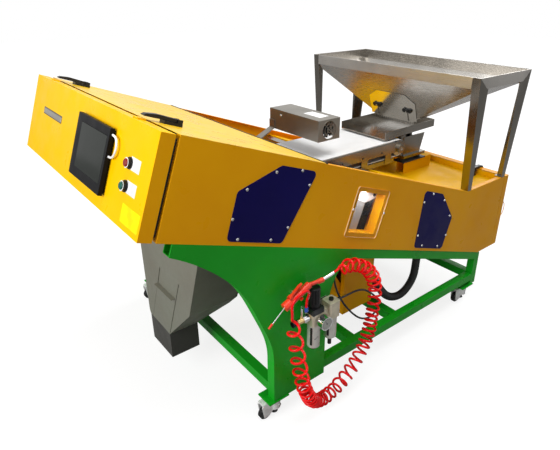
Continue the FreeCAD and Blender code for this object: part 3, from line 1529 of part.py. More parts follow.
def reject_bin():
    """Yellow box hung under the housing, with a grey slide that leads into its side."""
    x0, x1 = bin_x
    y0, y1 = bin_y
    t = sheet
    outline = [(x0, bin_bottom_z), (x1, bin_bottom_z), (x1, slope_under(x1) - 0.3),
               (x0, slope_under(x0) - 0.3)]
    inner = [(x0 + t, bin_bottom_z + t), (x1 - t, bin_bottom_z + t), (x1 - t, slope_under(x0)),
             (x0 + t, slope_under(x0))]
    shell = plate_xz(outline, y0, y1).cut(plate_xz(inner, y0 + t, y1 - t))
    low_z, high_z = bin_slide_z
    mouth = box(x0 - 1, x0 + t + 1, y0 + 20, bin_slide_y, low_z + t, high_z + 40)
    hose_end = Vector(*suction_route[-1])
    way = hose_end.sub(Vector(*suction_route[-2])).normalize()
    into = tuple(hose_end.add(way * 60))
    cuff = ring(suction_diameter / 2 + 4, suction_diameter / 2 - 3, tuple(hose_end), into)
    room = plate_xz(inner, y0 + t, y1 - t)
    cuff = cuff.cut(room).cut(box(x0, x1, y0, y1, bin_bottom_z, high_z + 100))
    slide = plate_xz(thick_line([(bin_slide_x, high_z), (x0 - 0.3, low_z)], t), y0 + 20, bin_slide_y)
    cheeks = [plate_xz([(bin_slide_x, high_z + t), (x0 - 0.3, low_z + t), (x0 - 0.3, low_z + 60),
                        (bin_slide_x, high_z + 40)], y, y + t) for y in (y0 + 20, bin_slide_y - t)]
    side = fuse(slide, *cheeks).cut(box(x0 - 0.3, x1, y0, y1, bin_bottom_z, high_z + 100))
    return group(fuse(shell.cut(mouth), cuff), side)


air_half = air_block / 2
bonnet_z = regulator_z + regulator_height
knob_z = bonnet_z + bonnet_height + knob_play
outlet_x = air_x[1] + air_half + outlet_length
inlet_x = air_x[0] - air_half - valve_length


def air_head(x, z0, z1):
    """Square die-cast block with its upright edges cut off."""
    c = air_block_chamfer
    h = air_half
    corners = [(-h, -h + c), (-h + c, -h), (h - c, -h), (h, -h + c),
               (h, h - c), (h - c, h), (-h + c, h), (-h, h - c)]
    points = [Vector(x + dx, air_y + dy, z0) for dx, dy in corners]
    return Part.Face(Part.makePolygon(points + points[:1])).extrude(Vector(0, 0, z1 - z0))


def air_bodies():
    """The two die-cast heads with their spacer, gauge and wall bracket."""
    regulator = air_head(air_x[0], regulator_z, bonnet_z)
    lubricator = air_head(air_x[1], lubricator_z, lubricator_z + lubricator_height)
    inner = (air_x[0] + air_half, air_x[1] - air_half)
    joiner = box(inner[0] - 1, inner[1] + 1, air_y - air_half / 2, air_y + air_half / 2,
                 regulator_z + 4, bonnet_z - 4)
    arm = box(inner[0] + 2, inner[1] - 2, air_y + air_half / 2 - 1, -air_bracket,
              regulator_z + 8, bonnet_z - 8)
    strap = box(air_x[0] - air_half / 2, air_x[1] + air_half / 2, -air_bracket, 0,
                regulator_z - 10, bonnet_z + 6)
    return fuse(regulator, lubricator, joiner, pressure_gauge(), arm, strap)


def bowl(x, z, length, drain):
    """Round bowl with a tapered foot and a drain below it."""
    top = Vector(x, air_y, z - length + bowl_taper)
    barrel = rod(bowl_radius, tuple(top), (x, air_y, z))
    foot = Part.makeCone(bowl_radius, bowl_radius - bowl_taper, bowl_taper, top, Vector(0, 0, -1))
    stem = rod(drain_radius, (x, air_y, z - length - drain), (x, air_y, z - length + 1))
    return fuse(barrel, foot, stem)


def pressure_gauge():
    x = air_x[0] + gauge_offset
    front_y = air_y - gauge_front
    case = rod(gauge_radius, (x, front_y, gauge_z), (x, front_y + gauge_depth, gauge_z))
    glass_well = rod(gauge_radius - 3, (x, front_y - 1, gauge_z), (x, front_y + 1.5, gauge_z))
    stem = rod(7, (x, front_y + gauge_depth - 1, gauge_z), (x, air_y - air_half + 1, gauge_z))
    return fuse(case.cut(glass_well), stem)


def air_inlet():
    """Sliding shut-off valve and nut, with the hose fitting that stands up from it."""
    block_side = air_x[0] - air_half
    end = rod(valve_radius - 3, (inlet_x, air_y, port_z), (inlet_x + 20, air_y, port_z))
    barrel = rod(valve_radius - 4, (inlet_x + 19, air_y, port_z), (block_side + 1, air_y, port_z))
    nut = rod(valve_radius, (block_side - 30, air_y, port_z), (block_side - 6, air_y, port_z))
    bore = rod(air_port_radius, (inlet_x - 1, air_y, port_z), (inlet_x + air_port_length, air_y, port_z))
    elbow_z = fitting_z - 12
    riser = rod(fitting_radius - 1, (fitting_x, air_y, port_z), (fitting_x, air_y, elbow_z + 5))
    branch = rod(fitting_radius - 1, (fitting_x, air_y + 5, elbow_z), (fitting_x, fitting_y - 5, elbow_z))
    mouth = rod(fitting_radius, (fitting_x, fitting_y, elbow_z - 5), (fitting_x, fitting_y, fitting_z))
    return fuse(end, barrel, nut, riser, branch, mouth).cut(bore)


def air_unit():
    """Filter regulator and lubricator with bowls, gauge, inlet, outlet and bracket."""
    bonnet = box(air_x[0] - air_half, air_x[0] + air_half, air_y - air_half, air_y + air_half,
                 bonnet_z, bonnet_z + bonnet_height)
    spindle = rod(knob_spindle_radius, (air_x[0], air_y, bonnet_z + bonnet_height - 1),
                  (air_x[0], air_y, knob_z + knob_spindle_length))
    lubricator_top = lubricator_z + lubricator_height
    filler = rod(filler_radius, (air_x[1], air_y, lubricator_top), (air_x[1], air_y, lubricator_top + 8))
    side_x = air_x[1] + air_half
    outlet = rod(outlet_radius, (side_x, air_y, outlet_z), (outlet_x, air_y, outlet_z))
    bowls = [bowl(air_x[0], regulator_z, bowl_length[0], drain_length[0]),
             bowl(air_x[1], lubricator_z, bowl_length[1], drain_length[1])]
    return group(fuse(air_bodies(), air_inlet()), *(bowls + [fuse(bonnet, spindle), filler, outlet]))


def regulator_knob():
    """Fluted pressure knob on the regulator's spindle."""
    top_z = knob_z + knob_height
    knob = rod(knob_radius, (air_x[0], air_y, knob_z), (air_x[0], air_y, top_z - 3))
    crown = Part.makeCone(knob_radius, knob_radius - 3, 3, Vector(air_x[0], air_y, top_z - 3))
    flutes = []
    for i in range(knob_flutes):
        flute = box(-1.6, 1.6, -1.6, 1.6, knob_z + 16, top_z + 1)
        flute.rotate(Vector(0, 0, 0), Vector(0, 0, 1), 45)
        flute.translate(Vector(knob_radius, 0, 0))
        flute.rotate(Vector(0, 0, 0), Vector(0, 0, 1), i * 360.0 / knob_flutes)
        flute.translate(Vector(air_x[0], air_y, 0))
        flutes.append(flute)
    bore = rod(knob_spindle_radius + 0.05, (air_x[0], air_y, knob_z - 1),
               (air_x[0], air_y, knob_z + knob_spindle_length + 0.5))
    return fuse(knob, crown).cut(Part.makeCompound(flutes)).cut(bore)


gun_tilt = rad(gun_pitch)


def gun_point(along, up):
    """Point in the gun's plane: along from its rear end towards the nozzle, and up."""
    x = gun_end[0] - along * math.cos(gun_tilt) + up * math.sin(gun_tilt) * -1
    z = gun_end[1] - along * math.sin(gun_tilt) + up * math.cos(gun_tilt)
    return x, z


def gun_rod(radius, start, end):
    x0, z0 = gun_point(*start)
    x1, z1 = gun_point(*end)
    return rod(radius, (x0, gun_y, z0), (x1, gun_y, z1))


def blow_gun():
    """Air gun: grip, head with trigger ears, long nozzle with soft tip, coupler and hook."""
    head_start = gun_body_length - gun_head_length
    grip = gun_rod(gun_grip_radius, (0, 0), (head_start + 4, 0))
    head = gun_rod(gun_grip_radius + gun_head_step, (head_start, 2), (gun_body_length, 2))
    ears = []
    for side in (-1, 1):
        y0, y1 = sorted((gun_y + side * 5.5, gun_y + side * 8.5))
        ears.append(plate_xz([gun_point(trigger_pin[0] - 5, 0), gun_point(trigger_pin[0] + 8, 0),
                              gun_point(trigger_pin[0] + 8, trigger_pin[1] + 4),
                              gun_point(trigger_pin[0] - 5, trigger_pin[1] + 4)], y0, y1))
    pin_x, pin_z = gun_point(*trigger_pin)
    pin = rod(trigger_pin_radius, (pin_x, gun_y - 8.5, pin_z), (pin_x, gun_y + 8.5, pin_z))
    body = fuse(grip, head, *(ears + [pin]))
    nozzle_end = (gun_body_length + gun_nozzle_length, 2 - gun_nozzle_drop)
    tip_drop = gun_tip_length * gun_nozzle_drop / gun_nozzle_length
    tip_end = (nozzle_end[0] + gun_tip_length, nozzle_end[1] - tip_drop)
    nozzle = gun_rod(gun_nozzle_radius, (gun_body_length, 2), nozzle_end)
    tip = gun_rod(gun_tip_radius, nozzle_end, tip_end)
    start = (gun_end[0], gun_y, gun_end[1])
    bend = (gun_end[0] + coupler_bend[0], gun_y, gun_end[1] + coupler_bend[1])
    sleeve = rod(coupler_radius + 2, (bend[0] - coupler_sleeve[0], gun_y, bend[2]),
                 (bend[0] + coupler_sleeve[1], gun_y, bend[2]))
    ball = Part.makeSphere(coupler_radius, Vector(*bend))
    coupler = fuse(rod(coupler_radius, start, bend), ball, rod(coupler_radius, bend, coil_route[0]), sleeve)
    hook_low = -gun_grip_radius - hook_thickness
    hook = plate_xz([gun_point(hook_span[0], -gun_grip_radius), gun_point(hook_span[1], -gun_grip_radius),
                     gun_point(hook_span[1], hook_low), gun_point(hook_span[0], hook_low)],
                    gun_y - gun_grip_radius, 0)
    return group(body, nozzle.cut(body), tip.cut(nozzle), coupler.cut(body), hook.cut(body))


def gun_trigger():
    r = gun_grip_radius
    outline = [gun_point(30, r + 13.5), gun_point(78, r + 3.5), gun_point(84, r + 3.5),
               gun_point(85, r + 9),
               gun_point(34, r + 20), gun_point(22, r + 18)]
    lever = plate_xz(outline, gun_y - 5, gun_y + 5)
    pin_x, pin_z = gun_point(*trigger_pin)
    return lever.cut(rod(trigger_pin_radius + 0.05, (pin_x, gun_y - 6, pin_z), (pin_x, gun_y + 6, pin_z)))


def cord_tube(route, diameter, label):
    """Tube along straight runs joined by arcs as large as their two runs allow."""
    points = [Vector(*point) for point in route]
    edges = []
    start = points[0]
    radii = []
    for before, corner, after in zip(points, points[1:], points[2:]):
        way_in = corner.sub(before)
        way_out = after.sub(corner)
        turn = way_in.getAngle(way_out)
        shorter = min(way_in.Length, way_out.Length)
        reach = 0.45 * shorter
        radii.append(reach / math.tan(turn / 2))
        way_in.normalize()
        way_out.normalize()
        entry = corner.sub(way_in * reach)
        leave = corner.add(way_out * reach)
        bulge = way_out.sub(way_in).normalize()
        middle = corner.add(bulge * (radii[-1] * (1 / math.cos(turn / 2) - 1)))
        edges.append(Part.LineSegment(start, entry).toShape())
        edges.append(Part.Arc(entry, middle, leave).toShape())
        start = leave
    edges.append(Part.LineSegment(start, points[-1]).toShape())
    path = Part.Wire(edges)
    first = points[1].sub(points[0])
    section = Part.Wire([Part.makeCircle(diameter / 2, points[0], first)])
    tube = path.makePipeShell([section], True, True)
    expected = math.pi * diameter ** 2 / 4 * path.Length
    print(label, "length", round(path.Length), "smallest radius", round(min(radii)),
          "volume ratio", round(tube.Volume / expected, 4))
    return tube


def panel_lead():
    """White loop that leaves the panel's side high up and comes back lower down."""
    side_y = panel_middle_y - panel_width / 2
    s = door_face_s - panel_depth / 2
    loop = ((0, 0), (-20, 0), (-35, -13), (-40, -32), (-34, -51), (-19, -63), (0, -63))
    route = []
    for across, down in loop:
        x, z = incline(s, lead_top_h + down)
        route.append((x, side_y + across, z))
    return cord_tube(route, lead_diameter, "panel lead")


def export(name, shape):
    shape = shape.copy()
    shape.translate(Vector(-origin_x, -origin_y, 0))
    shape.exportStep("parts/%s.step" % name)


def build_nodes():
    nodes = {
        "stand_legs": stand_legs(),
        "stand_base_frame": group(stand_base_frame(), caster_plates()),
        "stand_top_frame": stand_top_frame(),
        "side_panels": group(side_panel_near(), side_panel_far()),
        "window_pane": window_pane(),
        "blue_covers": blue_covers(),
        "bottom_pan": bottom_pan(),
        "top_cover": top_cover(),
        "rubber_trim": group(opening_trim(), door_seal()),
        "rear_deck": group(rear_deck(), feeder_supports()),
        "body_hardware": group(door_hinges(), latch_bases()),
        "front_door": front_door(),
        "rear_door": rear_door(),
        "latch_lever_near": latch_lever_front(0),
        "latch_lever_far": latch_lever_front(1),
        "latch_lever_rear": latch_lever_rear(),
        "touch_panel": touch_panel(),
        "button_bezels": button_bezels(),
        "stop_button": button_cap(stop_button_h),
        "start_button": button_cap(start_button_h),
        "panel_lead": panel_lead(),
        "conveyor_belt": conveyor_belt(),
        "conveyor_frame": group(conveyor_frame(), conveyor_bearings(), conveyor_hangers()),
        "head_roller": roller(head_roller_x),
        "tail_roller": roller(tail_roller_x),
        "belt_motor": belt_motor(),
        "vibrator": group(vibrator(), feeder_mounts()),
        "feeder_tray": feeder_tray(),
        "hopper_frame": hopper_frame(),
        "hopper_funnel": hopper_funnel(),
        "gate_plate": gate_plate(),
        "wing_nut_near": wing_nut(gate_stud_ys()[0]),
        "wing_nut_far": wing_nut(gate_stud_ys()[1]),
        "ioniser_box": group(ioniser_box(), ioniser_arm()),
        "ioniser_fan": ioniser_fan(),
        "sorting_head": sorting_head(),
        "accept_chute": accept_chute(),
        "chute_flap": chute_flap(),
        "reject_chute": reject_chute(),
        "reject_bin": reject_bin(),
        "air_unit": air_unit(),
        "regulator_knob": regulator_knob(),
        "blow_gun": blow_gun(),
        "gun_trigger": gun_trigger(),
        "coil_hose": group(cord_tube(coil_route, coil_diameter, "coil hose"),
                           cord_tube(coil_tail_route, coil_hose_diameter, "coil hose's end")),
        "suction_hose": cord_tube(suction_route, suction_diameter, "suction hose"),
        "air_hose": cord_tube(air_hose_route, air_hose_diameter, "air hose"),
    }
    labels = ("near_left", "near_right", "far_left", "far_right")
    for label, (x, y) in zip(labels, caster_places()):
        nodes["caster_frame_" + label] = caster_frame(x, y)
        nodes["caster_wheel_" + label] = caster_wheel(x, y)
        nodes["caster_foot_" + label] = caster_foot(x, y)
    return nodes


os.makedirs("parts", exist_ok=True)
for node_name, node_shape in build_nodes().items():
    export(node_name, node_shape)
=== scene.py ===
import math
import random

import bmesh
import bpy
from mathutils import Matrix, Vector


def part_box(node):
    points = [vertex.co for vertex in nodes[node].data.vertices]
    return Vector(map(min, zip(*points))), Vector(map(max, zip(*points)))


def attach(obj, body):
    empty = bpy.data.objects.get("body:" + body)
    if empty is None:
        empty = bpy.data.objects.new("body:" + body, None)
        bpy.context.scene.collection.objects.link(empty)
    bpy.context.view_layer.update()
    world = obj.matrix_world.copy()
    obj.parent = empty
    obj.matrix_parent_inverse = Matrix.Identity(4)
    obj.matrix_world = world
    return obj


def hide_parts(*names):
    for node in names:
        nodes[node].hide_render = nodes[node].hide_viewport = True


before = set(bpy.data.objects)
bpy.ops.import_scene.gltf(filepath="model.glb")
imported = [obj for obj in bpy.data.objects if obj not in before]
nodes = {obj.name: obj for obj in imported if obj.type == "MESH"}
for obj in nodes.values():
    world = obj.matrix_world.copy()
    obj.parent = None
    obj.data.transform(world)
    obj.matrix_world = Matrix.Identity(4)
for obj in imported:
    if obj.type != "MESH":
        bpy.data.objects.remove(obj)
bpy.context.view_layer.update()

# Lengths are millimetres in the machine's own drawing: X runs along the belt from the lower corner of
# the housing's high end, Y across it from the service side, and Z up from the floor. On the housing,
# s runs down its slope and h stands up from its lower edge.
MM = 0.001
housing_low, housing_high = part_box("side_panels")
zero = Vector((housing_low.x, housing_low.y, 0.0))
body_width = (housing_high.y - housing_low.y) / MM
tilt = math.radians(20.0)
front_bottom_z = 887.0
door_face_s = -54.0
panel_depth = 20.0

x_axis = Vector((1.0, 0.0, 0.0))
z_axis = Vector((0.0, 0.0, 1.0))
near_face = Vector((0.0, -1.0, 0.0))
far_face = Vector((0.0, 1.0, 0.0))
up_slope = Vector((math.sin(tilt), 0.0, math.cos(tilt)))


def at(x, y, z):
    return zero + Vector((x, y, z)) * MM


def incline(s, h):
    """The x and z of a point on the housing."""
    x = s * math.cos(tilt) + h * math.sin(tilt)
    z = front_bottom_z - s * math.sin(tilt) + h * math.cos(tilt)
    return x, z


def on_door(y, h, out=0.0):
    """A point on the control door's front, out from its face."""
    x, z = incline(door_face_s - out, h)
    return at(x, y, z)


def off_door(middle):
    """How far a point is out from the control door's face."""
    return door_face_s - (middle.x * math.cos(tilt) - (middle.z - front_bottom_z) * math.sin(tilt))


# Shader nodes

def new_material(name):
    material = bpy.data.materials.new(name)
    material.use_nodes = True
    tree = material.node_tree
    return material, tree, tree.nodes["Principled BSDF"]


def add_node(tree, kind, **settings):
    node = tree.nodes.new(kind)
    for key, value in settings.items():
        setattr(node, key, value)
    return node


def place_coordinates(tree, stretch=(1.0, 1.0, 1.0)):
    coordinates = add_node(tree, "ShaderNodeTexCoord")
    mapping = add_node(tree, "ShaderNodeMapping")
    mapping.inputs["Scale"].default_value = stretch
    tree.links.new(coordinates.outputs["Object"], mapping.inputs["Vector"])
    return mapping.outputs["Vector"]


def noise(tree, scale, detail, stretch=(1.0, 1.0, 1.0)):
    node = add_node(tree, "ShaderNodeTexNoise")
    node.inputs["Scale"].default_value = scale
    node.inputs["Detail"].default_value = detail
    tree.links.new(place_coordinates(tree, stretch), node.inputs["Vector"])
    return node.outputs["Fac"]


def ramp(tree, value, low, high, start=0.35, end=0.65):
    """Spreads a value over low to high. Start and end are where most of a noise lies."""
    node = add_node(tree, "ShaderNodeMapRange")
    node.inputs["From Min"].default_value = start
    node.inputs["From Max"].default_value = end
    node.inputs["To Min"].default_value = low
    node.inputs["To Max"].default_value = high
    tree.links.new(value, node.inputs["Value"])
    return node.outputs["Result"]


def colour_mix(tree, value, dark, light):
    node = add_node(tree, "ShaderNodeMix", data_type="RGBA")
    node.inputs["A"].default_value = (*dark, 1.0)
    node.inputs["B"].default_value = (*light, 1.0)
    tree.links.new(value, node.inputs["Factor"])
    return node.outputs["Result"]


def bump(tree, shader, value, strength, depth):
    """Relief from a value, with its depth in metres."""
    node = add_node(tree, "ShaderNodeBump")
    node.inputs["Strength"].default_value = strength
    node.inputs["Distance"].default_value = depth
    tree.links.new(value, node.inputs["Height"])
    tree.links.new(node.outputs["Normal"], shader.inputs["Normal"])


def shade(colour, factor):
    return tuple(min(1.0, c * factor) for c in colour)


# Finishes

def paint(name, colour, roughness, dirt, coat=0.0, warm=1.0, gleam=0.35):
    """Powder coat or enamel: orange peel, cloudy colour and uneven gloss. Warm clouds lose more green."""
    material, tree, shader = new_material(name)
    loss = (0.6, warm, 1.0)
    cloudy = tuple(c * (1 - dirt * share) for c, share in zip(colour, loss))
    cloud = ramp(tree, noise(tree, scale=3.2, detail=5.0), 0.0, 1.0)
    gloss = ramp(tree, noise(tree, scale=14.0, detail=4.0), roughness * 0.8, roughness * 1.35)
    peel = noise(tree, scale=420.0, detail=2.0)
    tree.links.new(colour_mix(tree, cloud, cloudy, colour), shader.inputs["Base Color"])
    tree.links.new(gloss, shader.inputs["Roughness"])
    shader.inputs["Specular IOR Level"].default_value = gleam
    shader.inputs["Coat Weight"].default_value = coat
    shader.inputs["Coat Roughness"].default_value = 0.08
    bump(tree, shader, peel, strength=0.05, depth=0.0004)
    return material


def stainless(name, along, colour, roughness=0.21):
    """Brushed sheet: fine scratches run along one axis, with slow changes of gloss."""
    material, tree, shader = new_material(name)
    stretch = {"X": (0.02, 1.0, 1.0), "Y": (1.0, 0.02, 1.0), "Z": (1.0, 1.0, 0.02)}[along]
    grain = noise(tree, scale=900.0, detail=3.0, stretch=stretch)
    slow = ramp(tree, noise(tree, scale=5.0, detail=3.0), 0.0, 1.0)
    tone = colour_mix(tree, slow, shade(colour, 0.86), shade(colour, 1.08))
    shader.inputs["Metallic"].default_value = 1.0
    tree.links.new(tone, shader.inputs["Base Color"])
    tree.links.new(ramp(tree, grain, roughness * 0.85, roughness * 1.3), shader.inputs["Roughness"])
    bump(tree, shader, grain, strength=0.035, depth=0.0002)
    return material


def plain_metal(name, colour, roughness, cast=0.0, metallic=1.0):
    """Plated or cast metal, with a grainy skin where it is cast, and less metallic where it is lacquered."""
    material, tree, shader = new_material(name)
    slow = noise(tree, scale=40.0, detail=4.0)
    skin = noise(tree, scale=1400.0, detail=2.0)
    tone = colour_mix(tree, ramp(tree, slow, 0.0, 1.0), shade(colour, 0.82), colour)
    shader.inputs["Metallic"].default_value = metallic
    tree.links.new(tone, shader.inputs["Base Color"])
    tree.links.new(ramp(tree, slow, roughness * 0.75, roughness * 1.3), shader.inputs["Roughness"])
    bump(tree, shader, skin, strength=0.05 + cast, depth=0.0003)
    return material


def plastic(name, colour, roughness, grain=900.0, strength=0.16, coat=0.0, gleam=0.5):
    """Moulded plastic or rubber with a fine grain and faint scuffs."""
    material, tree, shader = new_material(name)
    slow = noise(tree, scale=22.0, detail=4.0)
    tone = colour_mix(tree, ramp(tree, slow, 0.0, 1.0), shade(colour, 0.84), shade(colour, 1.06))
    tree.links.new(tone, shader.inputs["Base Color"])
    tree.links.new(ramp(tree, slow, roughness * 0.85, roughness * 1.2), shader.inputs["Roughness"])
    shader.inputs["Specular IOR Level"].default_value = gleam
    shader.inputs["Coat Weight"].default_value = coat
    bump(tree, shader, noise(tree, scale=grain, detail=2.0), strength, depth=0.0003)
    return material


def belt_cloth(name):
    """White coated belt: a faint weave shows through, with grey dust along the middle."""
    material, tree, shader = new_material(name)
    clean, dusty = (0.86, 0.86, 0.86), (0.72, 0.71, 0.69)
    dust = ramp(tree, noise(tree, scale=6.0, detail=5.0, stretch=(0.35, 1.0, 1.0)), 0.0, 1.0, 0.45, 0.8)
    tree.links.new(colour_mix(tree, dust, clean, dusty), shader.inputs["Base Color"])
    shader.inputs["Roughness"].default_value = 0.38
    weave = add_node(tree, "ShaderNodeTexVoronoi")
    weave.inputs["Scale"].default_value = 700.0
    tree.links.new(place_coordinates(tree), weave.inputs["Vector"])
    bump(tree, shader, weave.outputs["Distance"], strength=0.08, depth=0.0002)
    return material


def clear_sheet(name, cover=0.015, roughness=0.06):
    """Thin clear plastic: nearly all of it lets the view through, and a faint haze catches the light."""
    material, tree, shader = new_material(name)
    haze = noise(tree, scale=60.0, detail=6.0)
    shader.inputs["Base Color"].default_value = (1.0, 1.0, 1.0, 1.0)
    shader.inputs["IOR"].default_value = 1.49
    tree.links.new(ramp(tree, haze, cover * 0.8, cover * 1.5, 0.4, 0.9), shader.inputs["Alpha"])
    tree.links.new(ramp(tree, haze, roughness, roughness * 3, 0.5, 0.9), shader.inputs["Roughness"])
    bump(tree, shader, noise(tree, scale=90.0, detail=2.0), strength=0.02, depth=0.0002)
    return material


def dark_glass(name, colour):
    """Unlit display glass: smooth, with a faint smear of finger marks."""
    material, tree, shader = new_material(name)
    smear = ramp(tree, noise(tree, scale=25.0, detail=5.0), 0.10, 0.22, 0.45, 0.8)
    shader.inputs["Base Color"].default_value = (*colour, 1.0)
    shader.inputs["Specular IOR Level"].default_value = 0.04
    tree.links.new(smear, shader.inputs["Roughness"])
    bump(tree, shader, noise(tree, scale=30.0, detail=2.0), strength=0.01, depth=0.0002)
    return material


look = {
    "door": paint("paint_door_yellow", (0.93, 0.52, 0.001), roughness=0.34, dirt=0.05, gleam=0.05),
    # The side yellow is the door's yellow made darker and more orange: painted shade for faces turned from
    # the light.
    "side": paint("paint_side_yellow_painted_shade", (0.92, 0.42, 0.0005), roughness=0.34, dirt=0.10, warm=1.3, gleam=0.12),
    "deck": paint("paint_deck_yellow", (0.90, 0.55, 0.002), roughness=0.32, dirt=0.06, coat=0.08, gleam=0.5),
    "platform": paint("paint_platform_yellow", (0.92, 0.50, 0.001), roughness=0.4, dirt=0.06, gleam=0.05),
    "green": paint("paint_green", (0.008, 0.42, 0.016), roughness=0.32, dirt=0.22, gleam=0.2),
    "navy": paint("paint_navy", (0.004, 0.002, 0.085), roughness=0.36, dirt=0.2, gleam=0.1),
    "grey": paint("paint_grey", (0.195, 0.2, 0.16), roughness=0.5, dirt=0.14, gleam=0.2),
    "spout": paint("paint_grey_dark", (0.062, 0.062, 0.056), roughness=0.5, dirt=0.14, gleam=0.2),
    "dark": paint("paint_dark", (0.035, 0.034, 0.033), roughness=0.4, dirt=0.2),
    "board": paint("board_white", (0.82, 0.81, 0.83), roughness=0.45, dirt=0.05),
    "board_grey": paint("board_grey", (0.36, 0.36, 0.365), roughness=0.5, dirt=0.08),
    "steel_x": stainless("stainless_along_x", "X", (0.34, 0.315, 0.275)),
    "steel_y": stainless("stainless_along_y", "Y", (0.50, 0.475, 0.44), roughness=0.32),
    # A darker copy of the stainless: painted shade for the dark surroundings the hopper legs reflect.
    "steel_z_painted_shade": stainless("stainless_upright_painted_shade", "Z", (0.27, 0.25, 0.22), roughness=0.2),
    "funnel": stainless("stainless_funnel", "Y", (0.45, 0.428, 0.395), roughness=0.24),
    "satin": stainless("stainless_satin", "X", (0.29, 0.27, 0.235), roughness=0.34),
    "bright": stainless("stainless_bright", "Y", (0.80, 0.79, 0.77), roughness=0.16),
    "chrome": plain_metal("chrome", (0.82, 0.82, 0.83), roughness=0.10),
    "zinc": plain_metal("zinc_plate", (0.66, 0.66, 0.64), roughness=0.30),
    "brass": plain_metal("brass", (0.78, 0.56, 0.25), roughness=0.26),
    "cast": plain_metal("die_cast", (0.66, 0.60, 0.46), roughness=0.42, cast=0.12, metallic=0.4),
    "bowl": plain_metal("bowl_guard", (0.66, 0.65, 0.60), roughness=0.36, cast=0.04, metallic=0.5),
    "belt": belt_cloth("belt_white"),
    "black": plastic("plastic_black", (0.010, 0.010, 0.011), roughness=0.32, grain=1100.0, gleam=0.28),
    "panel": plastic("plastic_panel", (0.011, 0.011, 0.012), roughness=0.42, grain=1500.0, strength=0.10,
                     gleam=0.05),
    "rubber": plastic("rubber_black", (0.012, 0.012, 0.012), roughness=0.62, grain=700.0, strength=0.3),
    "tread": plastic("nylon_black", (0.012, 0.012, 0.012), roughness=0.5, grain=500.0, strength=0.2,
                     gleam=0.2),
    "core": plastic("wheel_core", (0.035, 0.035, 0.035), roughness=0.5, grain=700.0, strength=0.12,
                    gleam=0.25),
    "caster": plastic("plastic_caster", (0.98, 0.98, 0.96), roughness=0.3, strength=0.03, coat=0.6),
    "ivory": plastic("plastic_ivory", (0.90, 0.90, 0.87), roughness=0.34, strength=0.12, coat=0.2),
    "white": plastic("plastic_white", (0.86, 0.86, 0.87), roughness=0.35, strength=0.08),
    "gun": plastic("plastic_gun_red", (0.86, 0.045, 0.012), roughness=0.36, strength=0.14, coat=0.2),
    "hose": plastic("hose_red", (0.98, 0.004, 0.006), roughness=0.24, grain=700.0, strength=0.03, coat=0.1,
                    gleam=0.2),
    "stop": plastic("button_red", (0.24, 0.005, 0.005), roughness=0.25, strength=0.04, gleam=0.25),
    "start": plastic("button_green", (0.004, 0.10, 0.075), roughness=0.25, strength=0.04, gleam=0.25),
    "blue": plastic("plastic_blue", (0.02, 0.10, 0.62), roughness=0.3, strength=0.06, coat=0.3),
    "label": plastic("label_white", (0.84, 0.84, 0.84), roughness=0.45, grain=400.0, strength=0.03),
    "sticker": plastic("label_yellow", (0.86, 0.76, 0.002), roughness=0.4, grain=400.0, strength=0.03,
                       gleam=0.1),
    "dial": plastic("dial_pale", (0.42, 0.43, 0.38), roughness=0.4, grain=400.0, strength=0.02),
    # Pale orange for the pane's cut edges: a painted highlight for the light they catch.
    "pane_edge_painted_highlight": plastic("pane_edge_painted_highlight", (0.90, 0.66, 0.36), roughness=0.2, strength=0.02, coat=0.5),
    "board_black": plastic("board_black", (0.004, 0.004, 0.005), roughness=0.5, strength=0.05, gleam=0.1),
    "screen": dark_glass("screen_glass", (0.026, 0.029, 0.026)),
    "optic": dark_glass("optic_glass", (0.006, 0.006, 0.009)),
    "clear": clear_sheet("clear_pane"),
    "lens": clear_sheet("gauge_lens", cover=0.14, roughness=0.03),
}


# Nodes with one finish

node_look = {
    # The side yellow, with its painted shade, goes on the sides, bottom pan, rear door and reject bin.
    "side_panels": "side", "top_cover": "deck", "rear_deck": "platform", "bottom_pan": "side",
    "rear_door": "side", "reject_bin": "side", "blue_covers": "navy", "stand_legs": "green",
    "stand_base_frame": "green", "stand_top_frame": "green", "hopper_funnel": "funnel",
    "feeder_tray": "steel_x", "ioniser_box": "satin", "ioniser_fan": "black", "conveyor_belt": "belt",
    "conveyor_frame": "steel_x", "head_roller": "steel_y", "tail_roller": "steel_y", "belt_motor": "dark",
    "sorting_head": "dark", "reject_chute": "grey", "chute_flap": "grey", "body_hardware": "black",
    "latch_lever_near": "black", "latch_lever_far": "black", "latch_lever_rear": "black",
    "touch_panel": "panel", "wing_nut_near": "black", "wing_nut_far": "black", "regulator_knob": "black",
    "rubber_trim": "rubber", "stop_button": "stop", "start_button": "start", "gun_trigger": "gun",
}
corners = ("near_left", "near_right", "far_left", "far_right")
for corner in corners:
    node_look["caster_frame_" + corner] = "caster"
    node_look["caster_foot_" + corner] = "rubber"

for node_name, choice in node_look.items():
    node_data = nodes[node_name].data
    node_data.materials.clear()
    node_data.materials.append(look[choice])


# Nodes with several finishes

def dress_faces(name, choices, pick):
    """Several finishes on one node: pick names the one for a face, from its middle in mm and its normal."""
    data = nodes[name].data
    data.materials.clear()
    for choice in choices:
        data.materials.append(look[choice])
    for polygon in data.polygons:
        polygon.material_index = choices.index(pick((polygon.center - zero) / MM, polygon.normal))


air_y = -42.0
regulator_x, lubricator_x = 530.0, 612.0
port_z = 444.0
gauge_x, gauge_z = 543.0, 428.0
inlet_right_x, valve_end_right_x = 504.9, 452.0
nut_left_x, valve_barrel_radius = 474.0, 11.4
riser_low_z = 470.0
mouth_low_z, mouth_far_y = 490.0, -58.0
gauge_back_y, gauge_reach = -71.5, 27.0
outlet_left_x = 637.0
filler_low_z, filler_left_x = 471.01, 590.0
bonnet_low_z, bonnet_right_x = 457.01, 580.0
drain_high_z = 305.5
bowl_high_z = 398.0
bracket_near_y = -17.0


